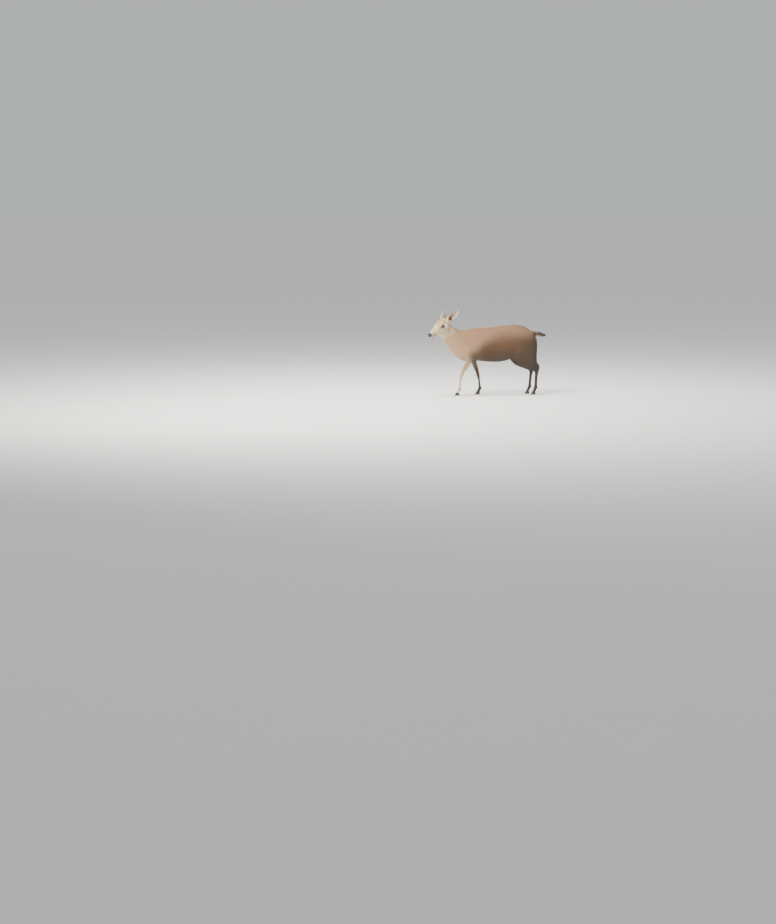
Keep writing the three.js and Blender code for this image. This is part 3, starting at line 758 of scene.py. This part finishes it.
def body_skin():
    flesh = [n for n in flesh_nodes if not n.startswith("ear_") and n != "tail"]
    body = merged_copy("skin", flesh, SWELL)
    body = remeshed(body, BODY_VOXEL, BODY_SMOOTHING)
    drawn = in_drawing(coordinates(body))
    smooth_where(body, smooth_step(*TRUNK_UNDERSIDE, drawn[:, 2]), TRUNK_SMOOTHING)
    behind = (drawn[:, 0] - STIFLE[0]) / STIFLE_REACH
    above = (drawn[:, 2] - STIFLE[1]) / STIFLE_REACH
    stifle = np.exp(-(np.hypot(behind, above) ** 2)) * (drawn[:, 2] > STIFLE_FLOOR)
    smooth_where(body, stifle, STIFLE_SMOOTHING)
    points = coordinates(body)
    move_to(body, points - normals(body) * coat_depth(points)[:, None])
    return body


FACE_SINK = 1.1  # how far the skin of the face lies under the CAD's surface
EAR_THINNER = 0.6  # how much less it does on the ears


def head_skin():
    """Head, lower jaw and ears on a finer net."""
    head = merged_copy("head_skin", ["head", "lower_jaw", "ear_left", "ear_right"], SWELL)
    head = remeshed(head, HEAD_VOXEL, HEAD_SMOOTHING)
    points = coordinates(head)
    local = in_head(points)
    ear = smooth_step(44, 52, np.abs(local[:, 1]) + 0.35 * local[:, 2])
    depth = (FACE_SINK - EAR_THINNER * ear) * MM
    move_to(head, points - normals(head) * depth[:, None])
    return head


def eye_axes(side):
    """An eye's outward, forward and upward directions."""
    out = Vector((-0.3, side, 0.3)).normalized()
    along = Vector((-1, -0.42 * side, -0.12))
    along = (along - out * along.dot(out)).normalized()
    up = out.cross(along)
    if up.z < 0:
        up = -up
    return head_turned @ out, head_turned @ along, head_turned @ up


EYE_OPENING = (0.80, 0.60)  # half length and half height of the opening, in eye radii
OPENING_ROUNDING = 0.3  # how much the almond narrows towards its corners
LID_RISE = 1.3 * MM  # how far a lid stands above the eyeball
LID_REACH = 2.3  # how far round the eye the lids are laid, in eye radii
OPENING_DEPTH = 4.2 * MM  # how far the skin goes in behind the opening
FOLD_DEPTH = 0.7 * MM  # of the crease above the upper lid


def shape_lids(points):
    """Lays the skin round each eye over the eyeball as two lids with an almond opening."""
    for side, centre in eye_centres.items():
        out, along, up = (np.array(axis) for axis in eye_axes(SIDES[side]))
        offset = points - np.array(centre)
        distance = np.linalg.norm(offset, axis=1)
        close = (distance < EYE_RADIUS * LID_REACH) & (offset @ out > -0.2 * EYE_RADIUS)
        aim = offset[close] / distance[close, None]
        ahead = aim @ along / EYE_OPENING[0]
        above = aim @ up / EYE_OPENING[1]
        narrowing = np.clip(1 - OPENING_ROUNDING * ahead**2, 0.4, 1)
        almond = np.sqrt(ahead**2 + above**2 / narrowing)
        inside = smooth_step(1.03, 0.93, almond)
        lid = smooth_step(1.75, 1.25, almond)
        fold = np.exp(-(((almond - 1.5) / 0.1) ** 2)) * (above > 0)
        target = EYE_RADIUS + LID_RISE - inside * OPENING_DEPTH
        radius = distance[close] + lid * (target - distance[close]) - fold * FOLD_DEPTH
        points[close] = np.array(centre) + aim * radius[:, None]
    return points


MOUTH_LINE = [(-186, -10), (-170, -9.5), (-150, -12), (-122, -15), (-116, -16.5)]
GLAND_LINE = [(-104, 1.5), (-99, 1.2), (-92, 3), (-86, 6)]

# Each groove's distance from the head's middle plane where it starts, its depth and its reach
MOUTH_GROOVE = (0, 2.4, 1.3)
LIP_SWELL = (8, -0.8, 2.2)
LIP_DROP = 4.5  # of the lower lip below the mouth line
GLAND_GROOVE = (16, 2.4, 1.6)
SLIT_ENDS = (-104, -60)
SLIT_HEIGHT = 22
SLIT_START = 7  # each side of the middle
SLIT_SPREAD = 0.22
SLIT_DEPTH = 0.9
SLIT_REACH = 1.6
FACE_BACK = -55


def carve(local, line, side_limit, depth, reach):
    """The depth at each place of a groove along a line given in side view of the head."""
    apart = distance_to_line(local[:, [0, 2]], line)
    return depth * np.exp(-((apart / reach) ** 2)) * (np.abs(local[:, 1]) > side_limit)


def shape_face(made):
    """Mouth line, lips, tear glands and the two slits on the forehead."""
    points = shape_lids(coordinates(made))
    local = in_head(points)
    press = carve(local, MOUTH_LINE, *MOUTH_GROOVE)
    press += carve(local, [(x, z - LIP_DROP) for x, z in MOUTH_LINE[:4]], *LIP_SWELL)
    press += carve(local, GLAND_LINE, *GLAND_GROOVE)
    along = local[:, 0]
    brow = (local[:, 2] > SLIT_HEIGHT) & (along < SLIT_ENDS[1]) & (along > SLIT_ENDS[0])
    slit = np.abs(np.abs(local[:, 1]) - (SLIT_START + (along - SLIT_ENDS[0]) * SLIT_SPREAD))
    press += SLIT_DEPTH * np.exp(-((slit / SLIT_REACH) ** 2)) * brow
    press = np.where(along < FACE_BACK, press, 0)
    move_to(made, points - normals(made) * press[:, None] * MM)


def join_skins(body, parts):
    for part in parts:
        apply(body, "BOOLEAN", operation="UNION", solver="MANIFOLD", object=part)
        bpy.data.objects.remove(part)
    return keep_largest(body)


NECK_JOIN = (14, 16)  # where it lies along the head, and its reach
TAIL_JOIN = (258, 12)  # the same along the animal


def soften_joins(made):
    """Smooths the skin where the head runs into the neck and the tail into the rump."""
    points = coordinates(made)
    head = in_head(points)
    drawn = in_drawing(points)
    off_ears = np.abs(head[:, 1]) + 0.5 * head[:, 2] < 52
    near_neck = np.exp(-(((head[:, 0] - NECK_JOIN[0]) / NECK_JOIN[1]) ** 2)) * off_ears
    tail_height = drawn[:, 2] > 395
    near_tail = np.exp(-(((drawn[:, 0] - TAIL_JOIN[0]) / TAIL_JOIN[1]) ** 2)) * tail_height
    smooth_where(made, near_neck + near_tail * 0.4, JOIN_SMOOTHING)


UNWRAP_ANGLE = math.radians(66)
UNWRAP_MARGIN = 0.001


def unwrap(made):
    """A flat unwrap of the skin's own shape, for the bake."""
    settings = {"angle_limit": UNWRAP_ANGLE, "island_margin": UNWRAP_MARGIN}
    edit(made, (bpy.ops.uv.smart_project, settings))
    made.data.uv_layers[0].name = "OFBake"


def make_skin():
    head = head_skin()
    skin = join_skins(body_skin(), [head, tail_core()])
    soften_joins(skin)
    shape_face(skin)
    apply(skin, "TRIANGULATE")
    shade_smooth(skin)
    unwrap(skin)
    return finished(skin, skin_material(), flesh_nodes)


# Eyes, nose and hooves

CORNEA_RISE = 0.9 * MM
CORNEA_EDGE = (0.55, 0.95)  # cosines of the angle from the eye's axis


def make_eye(name):
    """An eyeball with a raised cornea."""
    centre = eye_centres[name]
    out = eye_axes(SIDES[name])[0]
    bpy.ops.object.select_all(action="DESELECT")
    bpy.ops.mesh.primitive_uv_sphere_add(segments=64, ring_count=40, radius=EYE_RADIUS, location=centre)
    eye = bpy.context.active_object
    eye.name = "eyeball_" + name
    bpy.ops.object.transform_apply(location=True, rotation=True, scale=True)
    points = coordinates(eye)
    offset = points - np.array(centre)
    facing = offset @ np.array(out) / EYE_RADIUS
    rise = smooth_step(*CORNEA_EDGE, facing) * CORNEA_RISE
    move_to(eye, points + unit(offset) * rise[:, None])
    shade_smooth(eye)
    finished(eye, materials["eye"], ["eye_" + name])


RIM_STEPS = 56
RIM_SIDES = 8
RIM_RISE = 0.7 * MM
UPPER_RIM = 1.15 * MM
LOWER_RIM = 0.9 * MM
CORNER_LENGTH = 0.06  # how much the front corner of the opening is drawn out


def rim_ring(centre, axes, angle):
    """A ring of points round the edge of the lids, at an angle round the opening."""
    out, along, up = axes
    cosine, sine = math.cos(angle), math.sin(angle)
    above = sine * EYE_OPENING[1] * math.sqrt(1 - OPENING_ROUNDING * cosine**2)
    ahead = cosine * EYE_OPENING[0] * (1.0 + CORNER_LENGTH * cosine)
    ray = along * ahead + up * above
    ray = (ray + out * math.sqrt(max(1 - ray.length_squared, 0.02))).normalized()
    middle = centre + ray * (EYE_RADIUS + RIM_RISE)
    edge = (along * cosine + up * sine).normalized()
    edge = (edge - ray * edge.dot(ray)).normalized()
    size = UPPER_RIM if sine > 0 else LOWER_RIM
    turns = [k / RIM_SIDES * 2 * math.pi for k in range(RIM_SIDES)]
    return [
        tuple(middle + edge * size * math.cos(turn) + ray * size * math.sin(turn)) for turn in turns
    ]


def make_lid_rim(name):
    """The dark wet rim of an eye's lids."""
    axes = eye_axes(SIDES[name])
    angles = [i / RIM_STEPS * 2 * math.pi for i in range(RIM_STEPS)]
    rings = [rim_ring(eye_centres[name], axes, angle) for angle in angles]
    rim = new_object("lid_rim_" + name, tube_mesh("lid_rim_" + name, rings, loop=True))
    outward(rim)
    shade_smooth(rim)
    finished(rim, materials["rim"])


NOSTRIL_LINE = [(4.6, -3.5), (7.5, -3), (11, 0.5), (13, 5), (12.2, 8)]  # across and up
NOSTRIL_DEPTH = 4.6
NOSTRIL_REACH = 1.5
WING_RISE = 0.7
WING_OFFSET = 3.6  # from the line of the nostril
WING_REACH = 1.6
NOSE_GROOVE = 0.8  # depth and reach of the groove
NOSE_FRONT = -168
NOSE_SWELL = 0.0002
NOSE_VOXEL = 0.0007
HOOF_VOXEL = 0.0009
DEWCLAW_VOXEL = 0.0007
HARD_SMOOTHING = 4


def distance_to_line(points, line):
    """Distances of flat points to a line through given places."""
    line = np.array(line, float)
    best = np.full(len(points), np.inf)
    for start, end in zip(line[:-1], line[1:]):
        run = end - start
        share = np.clip((points - start) @ run / (run @ run), 0, 1)
        best = np.minimum(best, np.linalg.norm(points - start - share[:, None] * run, axis=1))
    return best


def make_nose():
    """The bare pad, with comma-shaped nostrils, raised wings and a groove down the middle."""
    nose = merged_copy("nose", ["nose_pad"], NOSE_SWELL)
    nose = remeshed(nose, NOSE_VOXEL, HARD_SMOOTHING)
    points = coordinates(nose)
    local = in_head(points)
    flat = np.stack([np.abs(local[:, 1]), local[:, 2]], 1)
    apart = distance_to_line(flat, NOSTRIL_LINE)
    front = local[:, 0] < NOSE_FRONT
    wing = np.exp(-(((apart - WING_OFFSET) / WING_REACH) ** 2)) * WING_RISE
    groove = np.exp(-((local[:, 1] / NOSE_GROOVE) ** 2)) * (local[:, 2] < 3) * NOSE_GROOVE
    pit = np.exp(-((apart / NOSTRIL_REACH) ** 4)) * NOSTRIL_DEPTH
    local[:, 0] += np.where(front, pit + groove, 0)
    points = from_head(local) + normals(nose) * (wing * front)[:, None] * MM
    move_to(nose, points)
    apply(nose, "SMOOTH", factor=0.5, iterations=2)
    shade_smooth(nose)
    finished(nose, materials["nose"], ["nose_pad"])


def make_horn():
    """Hooves and dewclaws, rounded from their CAD solids."""
    for node in horn_nodes:
        made = merged_copy(node + "_horn", [node])
        voxel = HOOF_VOXEL if "hoof" in node else DEWCLAW_VOXEL
        made = remeshed(made, voxel, HARD_SMOOTHING)
        shade_smooth(made)
        finished(made, materials["horn"], [node])


# Coat

# The directions in which hair lies before it is laid along the skin
TRUNK_LIE = (1.0, 0.0, -0.22)
NECK_LIE = (0.74, 0.0, -0.62)
LIMB_LIE = (0, 0, -0.7)  # added to the trunk's on the shoulder and thigh
LEG_LIE = (0.12, 0.0, -1.0)
RUMP_LIE = (0.1, 0.0, -1.0)
TAIL_LIE = (1.0, 0.0, 0.1)
HEAD_LIE = (1.0, 0.0, -0.12)  # in the head's frame
EAR_SPACE = 0.04  # how far from the line of an ear its hair may grow


def turned(lie, share, other):
    """Directions brought round to another one by a share for each."""
    share = share[:, None]
    return lie * (1 - share) + share * np.array(other)


def beside_ear(points, side):
    """How far points lie along an ear from its root, and whether they are on it."""
    root, along, _ = (np.array(part) for part in ear_frame(side))
    far = (points - root) @ along
    return far, np.linalg.norm(points - root - far[:, None] * along, axis=1) < EAR_SPACE


def flow(points):
    """The direction in which the hair lies at given places."""
    along, _, height = in_drawing(points).T
    lie = np.tile(TRUNK_LIE, (len(points), 1))
    lie = turned(lie, smooth_step(-200, -290, along), NECK_LIE)
    limb = (np.abs(along + 205) < 75) | (along > 110)
    lie = lie + (limb * smooth_step(420, 300, height))[:, None] * LIMB_LIE
    lie = turned(lie, smooth_step(245, 190, height), LEG_LIE)
    lie = turned(lie, smooth_step(250, 275, along) * (height < 415), RUMP_LIE)
    lie = turned(lie, smooth_step(262, 280, along) * (height > 405), TAIL_LIE)
    lie = turned(lie, skull_share(in_head(points)), head_axes @ np.array(HEAD_LIE))
    for side in SIDES.values():
        far, on_ear = beside_ear(points, side)
        lie = turned(lie, smooth_step(0.008, 0.018, far) * on_ear, ear_frame(side)[1])
    return lie


def ear_share(points):
    """1 on the ears beyond their roots."""
    share = np.zeros(len(points))
    for side in SIDES.values():
        far, on_ear = beside_ear(points, side)
        share = np.maximum(share, smooth_step(0.012, 0.02, far) * on_ear)
    return share


class SkinNet:
    """The skin's triangles, for sampling places on it."""

    def __init__(self, made):
        mesh = made.data
        count = len(mesh.polygons)
        flat = np.empty(count * 3, np.int32)
        mesh.polygons.foreach_get("vertices", flat)
        self.corners = flat.reshape(-1, 3)
        self.points = coordinates(made)
        self.normals = normals(made)
        flat = np.empty(count * 6, np.float32)
        mesh.uv_layers["OFBake"].uv.foreach_get("vector", flat)
        self.uvs = flat.reshape(-1, 3, 2).astype(float)
        a, b, c = (self.points[self.corners[:, k]] for k in range(3))
        self.areas = np.linalg.norm(np.cross(b - a, c - a), axis=1) / 2
        self.middles = (a + b + c) / 3

    def sample(self, density):
        """Places spread with a given density, in tufts for each square metre."""
        expected = self.areas * density
        counts = np.floor(expected + rng.random(len(expected))).astype(int)
        chosen = np.repeat(np.arange(len(expected)), counts)
        first, second = rng.random(len(chosen)), rng.random(len(chosen))
        flip = first + second > 1
        first[flip], second[flip] = 1 - first[flip], 1 - second[flip]
        shares = np.stack([1 - first - second, first, second], 1)[:, :, None]
        corners = self.corners[chosen]
        points = (self.points[corners] * shares).sum(1)
        leans = unit((self.normals[corners] * shares).sum(1))
        uvs = (self.uvs[chosen] * shares).sum(1)
        return points, leans, uvs


def tail_share(drawn):
    """1 on the tail, by places in the drawing."""
    return smooth_step(264, 280, drawn[:, 0]) * (drawn[:, 2] > 400)


# Tufts for each square metre
TRUNK_DENSITY = 400e3
LEG_DENSITY = 560e3
SKULL_DENSITY = 950e3
EAR_DENSITY = 800e3
TAIL_DENSITY = 800e3

# Length and width of the tufts in millimetres, and lift in degrees
TRUNK_TUFT = (13.0, 1.5, 12.0)
CHEST_MORE = (2.0, 0.0, 2.0)
LEG_TUFT = (6.0, 1.1, 10.0)
SKULL_TUFT = (4.2, 0.85)
MUZZLE_LESS = (1.8, 0.2)
EAR_TUFT = (4.4, 0.85, 8.0)
TAIL_TUFT = (19.0, 1.2, 22.0)

NOSE_EDGE = -171
MOUTH_GAP = (-10, 2.2)  # height and half width of the bare line of the mouth
MOUTH_CORNER = -125


def coat_density(points):
    """Tufts for each square metre at given places, with none on the eyes, nose and lips."""
    drawn = in_drawing(points)
    head = in_head(points)
    density = np.full(len(points), TRUNK_DENSITY)
    density += smooth_step(245, 190, drawn[:, 2]) * (LEG_DENSITY - density)
    density += skull_share(head) * (SKULL_DENSITY - density)
    density += ear_share(points) * (EAR_DENSITY - density)
    density[tail_share(drawn) > 0.5] = TAIL_DENSITY
    bare = head[:, 0] < NOSE_EDGE
    for centre in eye_centres.values():
        bare |= np.linalg.norm(points - np.array(centre), axis=1) < EYE_RADIUS + 0.4 * MM
    gap = np.abs(head[:, 2] - MOUTH_GAP[0]) < MOUTH_GAP[1]
    bare |= gap & (head[:, 0] < MOUTH_CORNER)
    return np.where(bare, 0, density)


def coat_size(points):
    """Length, width and lift of the tufts at given places."""
    drawn = in_drawing(points)
    head = in_head(points)
    sizes = np.tile(TRUNK_TUFT, (len(points), 1))
    sizes += smooth_step(-210, -270, drawn[:, :1]) * CHEST_MORE
    sizes += smooth_step(245, 150, drawn[:, 2:]) * (LEG_TUFT - sizes)
    sizes[:, :2] += skull_share(head)[:, None] * (SKULL_TUFT - sizes[:, :2])
    sizes[:, :2] -= smooth_step(-90, -160, head[:, :1]) * MUZZLE_LESS
    sizes += ear_share(points)[:, None] * (EAR_TUFT - sizes)
    sizes += tail_share(drawn)[:, None] * (TAIL_TUFT - sizes)
    return sizes.T


BAKE_PATCH = 0.003
ROOT_DEPTH = 0.4  # how deep a tuft's root is sunk in the skin
TONE_RANGE = 0.34  # from the root of a tuft to its tip
DROOP = 0.12  # how much tufts hang down from the lie of the hair
RIDGE_HEIGHT = 0.22  # of a tuft's width
TIP_LIFT = 0.2  # of the root's lift, in bent tufts

# A straight tuft has its root's two sides, its ridge and its tip as points, and a bent one has two
# such sections and a tip. Each section has its place along the tuft and its share of the width.
STRAIGHT = {
    "sections": ((0.0, 1.0),),
    "faces": ((0, 3, 1), (0, 2, 3), (2, 1, 3), (0, 1, 2)),
    "patch": ((-0.5, -0.5), (0.5, -0.5), (0, -0.2), (0, 0.5)),
}
BENT = {
    "sections": ((0.0, 0.75), (0.5, 1.0)),
    "faces": (
        (0, 3, 4), (0, 4, 1), (0, 2, 5), (0, 5, 3), (1, 4, 5), (1, 5, 2),
        (3, 6, 4), (3, 5, 6), (4, 6, 5), (0, 1, 2),
    ),
    "patch": ((-0.5, -0.5), (0.5, -0.5), (0, -0.5), (-0.5, 0), (0.5, 0), (0, 0), (0, 0.5)),
}


def tuft_points(shape, points, leans, directions, length, width, lift):
    """The points of each tuft, and each point's place along it."""
    along = directions - leans * (directions * leans).sum(1)[:, None]
    down = np.array([0.0, 0.0, -DROOP])
    along = unit(unit(along) + down - leans * (leans @ down)[:, None])
    side = np.cross(leans, along)
    rise = np.radians(lift)[:, None]
    first = along * np.cos(rise) + leans * np.sin(rise)
    second = along * np.cos(rise * TIP_LIFT) + leans * np.sin(rise * TIP_LIFT)
    centre = points - leans * ROOT_DEPTH * MM
    corners = []
    places = []
    for far, wide in shape["sections"]:
        middle = centre + first * (length * far * MM)[:, None]
        half = side * (width * wide * 0.5 * MM)[:, None]
        ridge = leans * (width * wide * RIDGE_HEIGHT * MM)[:, None]
        corners += [middle + half, middle - half, middle + ridge]
        places += [far] * 3
    rest = first if shape is STRAIGHT else second
    corners.append(middle + rest * (length * (1 - places[-1]) * MM)[:, None])
    return np.stack(corners, 1), np.array(places + [1.0])


def tuft_mesh(name, shape, corners, uvs, tones):
    """One mesh of many tufts, each with its patch of the bake map and its tones."""
    count, size, _ = corners.shape
    starts = np.arange(count)[:, None, None] * size
    order = (np.array(shape["faces"])[None] + starts).ravel()
    mesh = bpy.data.meshes.new(name)
    mesh.vertices.add(count * size)
    mesh.vertices.foreach_set("co", corners.astype(np.float32).ravel())
    mesh.loops.add(len(order))
    mesh.loops.foreach_set("vertex_index", order.astype(np.int32))
    mesh.polygons.add(len(order) // 3)
    mesh.polygons.foreach_set("loop_start", np.arange(0, len(order), 3, dtype=np.int32))
    mesh.update(calc_edges=True)
    patches = uvs[:, None, :] + np.array(shape["patch"])[None] * BAKE_PATCH
    layer = mesh.uv_layers.new(name="OFBake")
    layer.uv.foreach_set("vector", patches.reshape(-1, 2)[order].astype(np.float32).ravel())
    attribute = mesh.attributes.new("tone", "FLOAT", "POINT")
    attribute.data.foreach_set("value", tones.astype(np.float32).ravel())
    mesh.validate()
    return mesh


def coat_regions(points):
    """The name of the coat piece that each tuft belongs to."""
    drawn = in_drawing(points)
    head = in_head(points)
    along = drawn[:, 0]
    side = np.where(drawn[:, 1] < 0, "left", "right").astype(object)
    part = np.where(along < -60, "front", np.where(along < 110, "middle", "rear"))
    names = "coat_trunk_" + part.astype(object) + "_" + side
    names[along < -235] = "coat_neck"
    limbs = np.where(along < 0, "coat_foreleg_", "coat_hindleg_").astype(object) + side
    names = np.where(drawn[:, 2] < 225, limbs, names)
    faces = np.where(head[:, 1] < 0, "coat_face_left", "coat_face_right").astype(object)
    names = np.where(skull_share(head) > 0.6, faces, names)
    names[ear_share(points) > 0.3] = "coat_ears"
    names[tail_share(drawn) > 0] = "coat_tail"
    return names


# How much tufts differ from their region's size: the usual part of it, the least and the most
LENGTH_SPREAD = (0.16, 0.6, 1.4)
WIDTH_SPREAD = (0.14, 0.6, 1.4)
LIFT_SPREAD = (0.2, 0.4, 1.6)
LIE_SPREAD = 0.06
TONE_SPREAD = 0.13


def varied(values, draws, spread):
    usual, least, most = spread
    return values * np.clip(1 + usual * draws, least, most)


def make_coat(skin):
    """The tufts all over the skin, in one piece for each region."""
    net = SkinNet(skin)
    points, leans, uvs = net.sample(coat_density(net.middles))
    length, width, lift = coat_size(points)
    draws = rng.normal(0, 1, (4, len(points)))
    length = varied(length, draws[0], LENGTH_SPREAD)
    width = varied(width, draws[1], WIDTH_SPREAD)
    lift = varied(lift, draws[2], LIFT_SPREAD)
    directions = unit(flow(points)) + LIE_SPREAD * rng.normal(0, 1, (len(points), 3))
    middle_tones = 0.5 + TONE_SPREAD * draws[3]
    names = coat_regions(points)
    for name in sorted(set(names)):
        shape = BENT if name == "coat_tail" else STRAIGHT
        chosen = np.nonzero(names == name)[0]
        corners, places = tuft_points(
            shape, *(values[chosen] for values in (points, leans, directions, length, width, lift))
        )
        tones = middle_tones[chosen, None] + TONE_RANGE * (places[None] - 0.5)
        mesh = tuft_mesh(name, shape, corners, uvs[chosen], np.clip(tones, 0, 1))
        finished(new_object(name, mesh), materials["tuft"])


# Stage

FLOOR_SIZE = 160
WORLD_COLOUR = (0.84, 0.86, 0.88, 1)
WORLD_STRENGTH = 0.66
LIGHTS_AIM = Vector((0, 0, 0.3))
LIGHTS = [  # name, place, size, watts and colour
    ("key", (-2.4, -2.0, 3.2), 1.6, 350, (1.0, 0.97, 0.93)),
    ("top", (-0.6, 0.2, 3.4), 1.8, 200, (1.0, 0.99, 0.97)),
    ("fill", (3.0, -1.6, 1.8), 2.0, 10, (0.93, 0.96, 1.0)),
]


def make_floor():
    bpy.ops.object.select_all(action="DESELECT")
    bpy.ops.mesh.primitive_plane_add(size=FLOOR_SIZE, location=(0, 0, 0))
    floor = bpy.context.active_object
    floor.name = "floor"
    floor.data.materials.append(floor_material())


def make_lights():
    """The pale surroundings and three soft lamps."""
    world = bpy.data.worlds.new("studio")
    bpy.context.scene.world = world
    world.use_nodes = True
    background = world.node_tree.nodes["Background"].inputs
    background["Color"].default_value = WORLD_COLOUR
    background["Strength"].default_value = WORLD_STRENGTH
    for name, location, size, power, colour in LIGHTS:
        light = bpy.data.lights.new(name, "AREA")
        light.size = size
        light.energy = power
        light.color = colour
        lamp = bpy.data.objects.new(name, light)
        lamp.location = location
        lamp.rotation_euler = (LIGHTS_AIM - lamp.location).to_track_quat("-Z", "Y").to_euler()
        bpy.context.scene.collection.objects.link(lamp)


CAMERA_AZIMUTH = math.radians(-12)
CAMERA_ELEVATION = math.radians(5)
CAMERA_DISTANCE = 17.0
METRES_PER_PIXEL = 0.0071  # at the animal
ORIGIN_PIXEL = (497, 394.1)  # where the drawing's origin shows in the 776 x 924 frame
FRAME_SIZE = (776, 924)
SENSOR = 36.0


def make_camera():
    """The photograph's view: nearly from the side, from a little above, with a long lens."""
    a, e = CAMERA_AZIMUTH, CAMERA_ELEVATION
    back = Vector((math.sin(a) * math.cos(e), -math.cos(a) * math.cos(e), math.sin(e)))
    right = Vector((math.cos(a), math.sin(a), 0))
    up = back.cross(right)
    aside = (ORIGIN_PIXEL[0] - FRAME_SIZE[0] / 2) * METRES_PER_PIXEL
    above = (FRAME_SIZE[1] / 2 - ORIGIN_PIXEL[1]) * METRES_PER_PIXEL
    origin = place(0, 0, 0)
    target = origin - right * aside - up * above
    data = bpy.data.cameras.new("camera")
    data.sensor_width = SENSOR
    data.lens = SENSOR * CAMERA_DISTANCE / (FRAME_SIZE[1] * METRES_PER_PIXEL)
    data.clip_end = 300
    camera = bpy.data.objects.new("camera", data)
    camera.location = origin + back * CAMERA_DISTANCE
    camera.rotation_euler = (target - camera.location).to_track_quat("-Z", "Y").to_euler()
    bpy.context.scene.collection.objects.link(camera)
    bpy.context.scene.camera = camera


make_camera()
make_floor()
make_lights()
materials = {
    "eye": eye_material(),
    "rim": rim_material(),
    "nose": nose_material(),
    "horn": horn_material(),
    "tuft": tuft_material(),
}
skin = make_skin()
for side_name in SIDES:
    make_eye(side_name)
    make_lid_rim(side_name)
make_nose()
make_horn()
make_coat(skin)
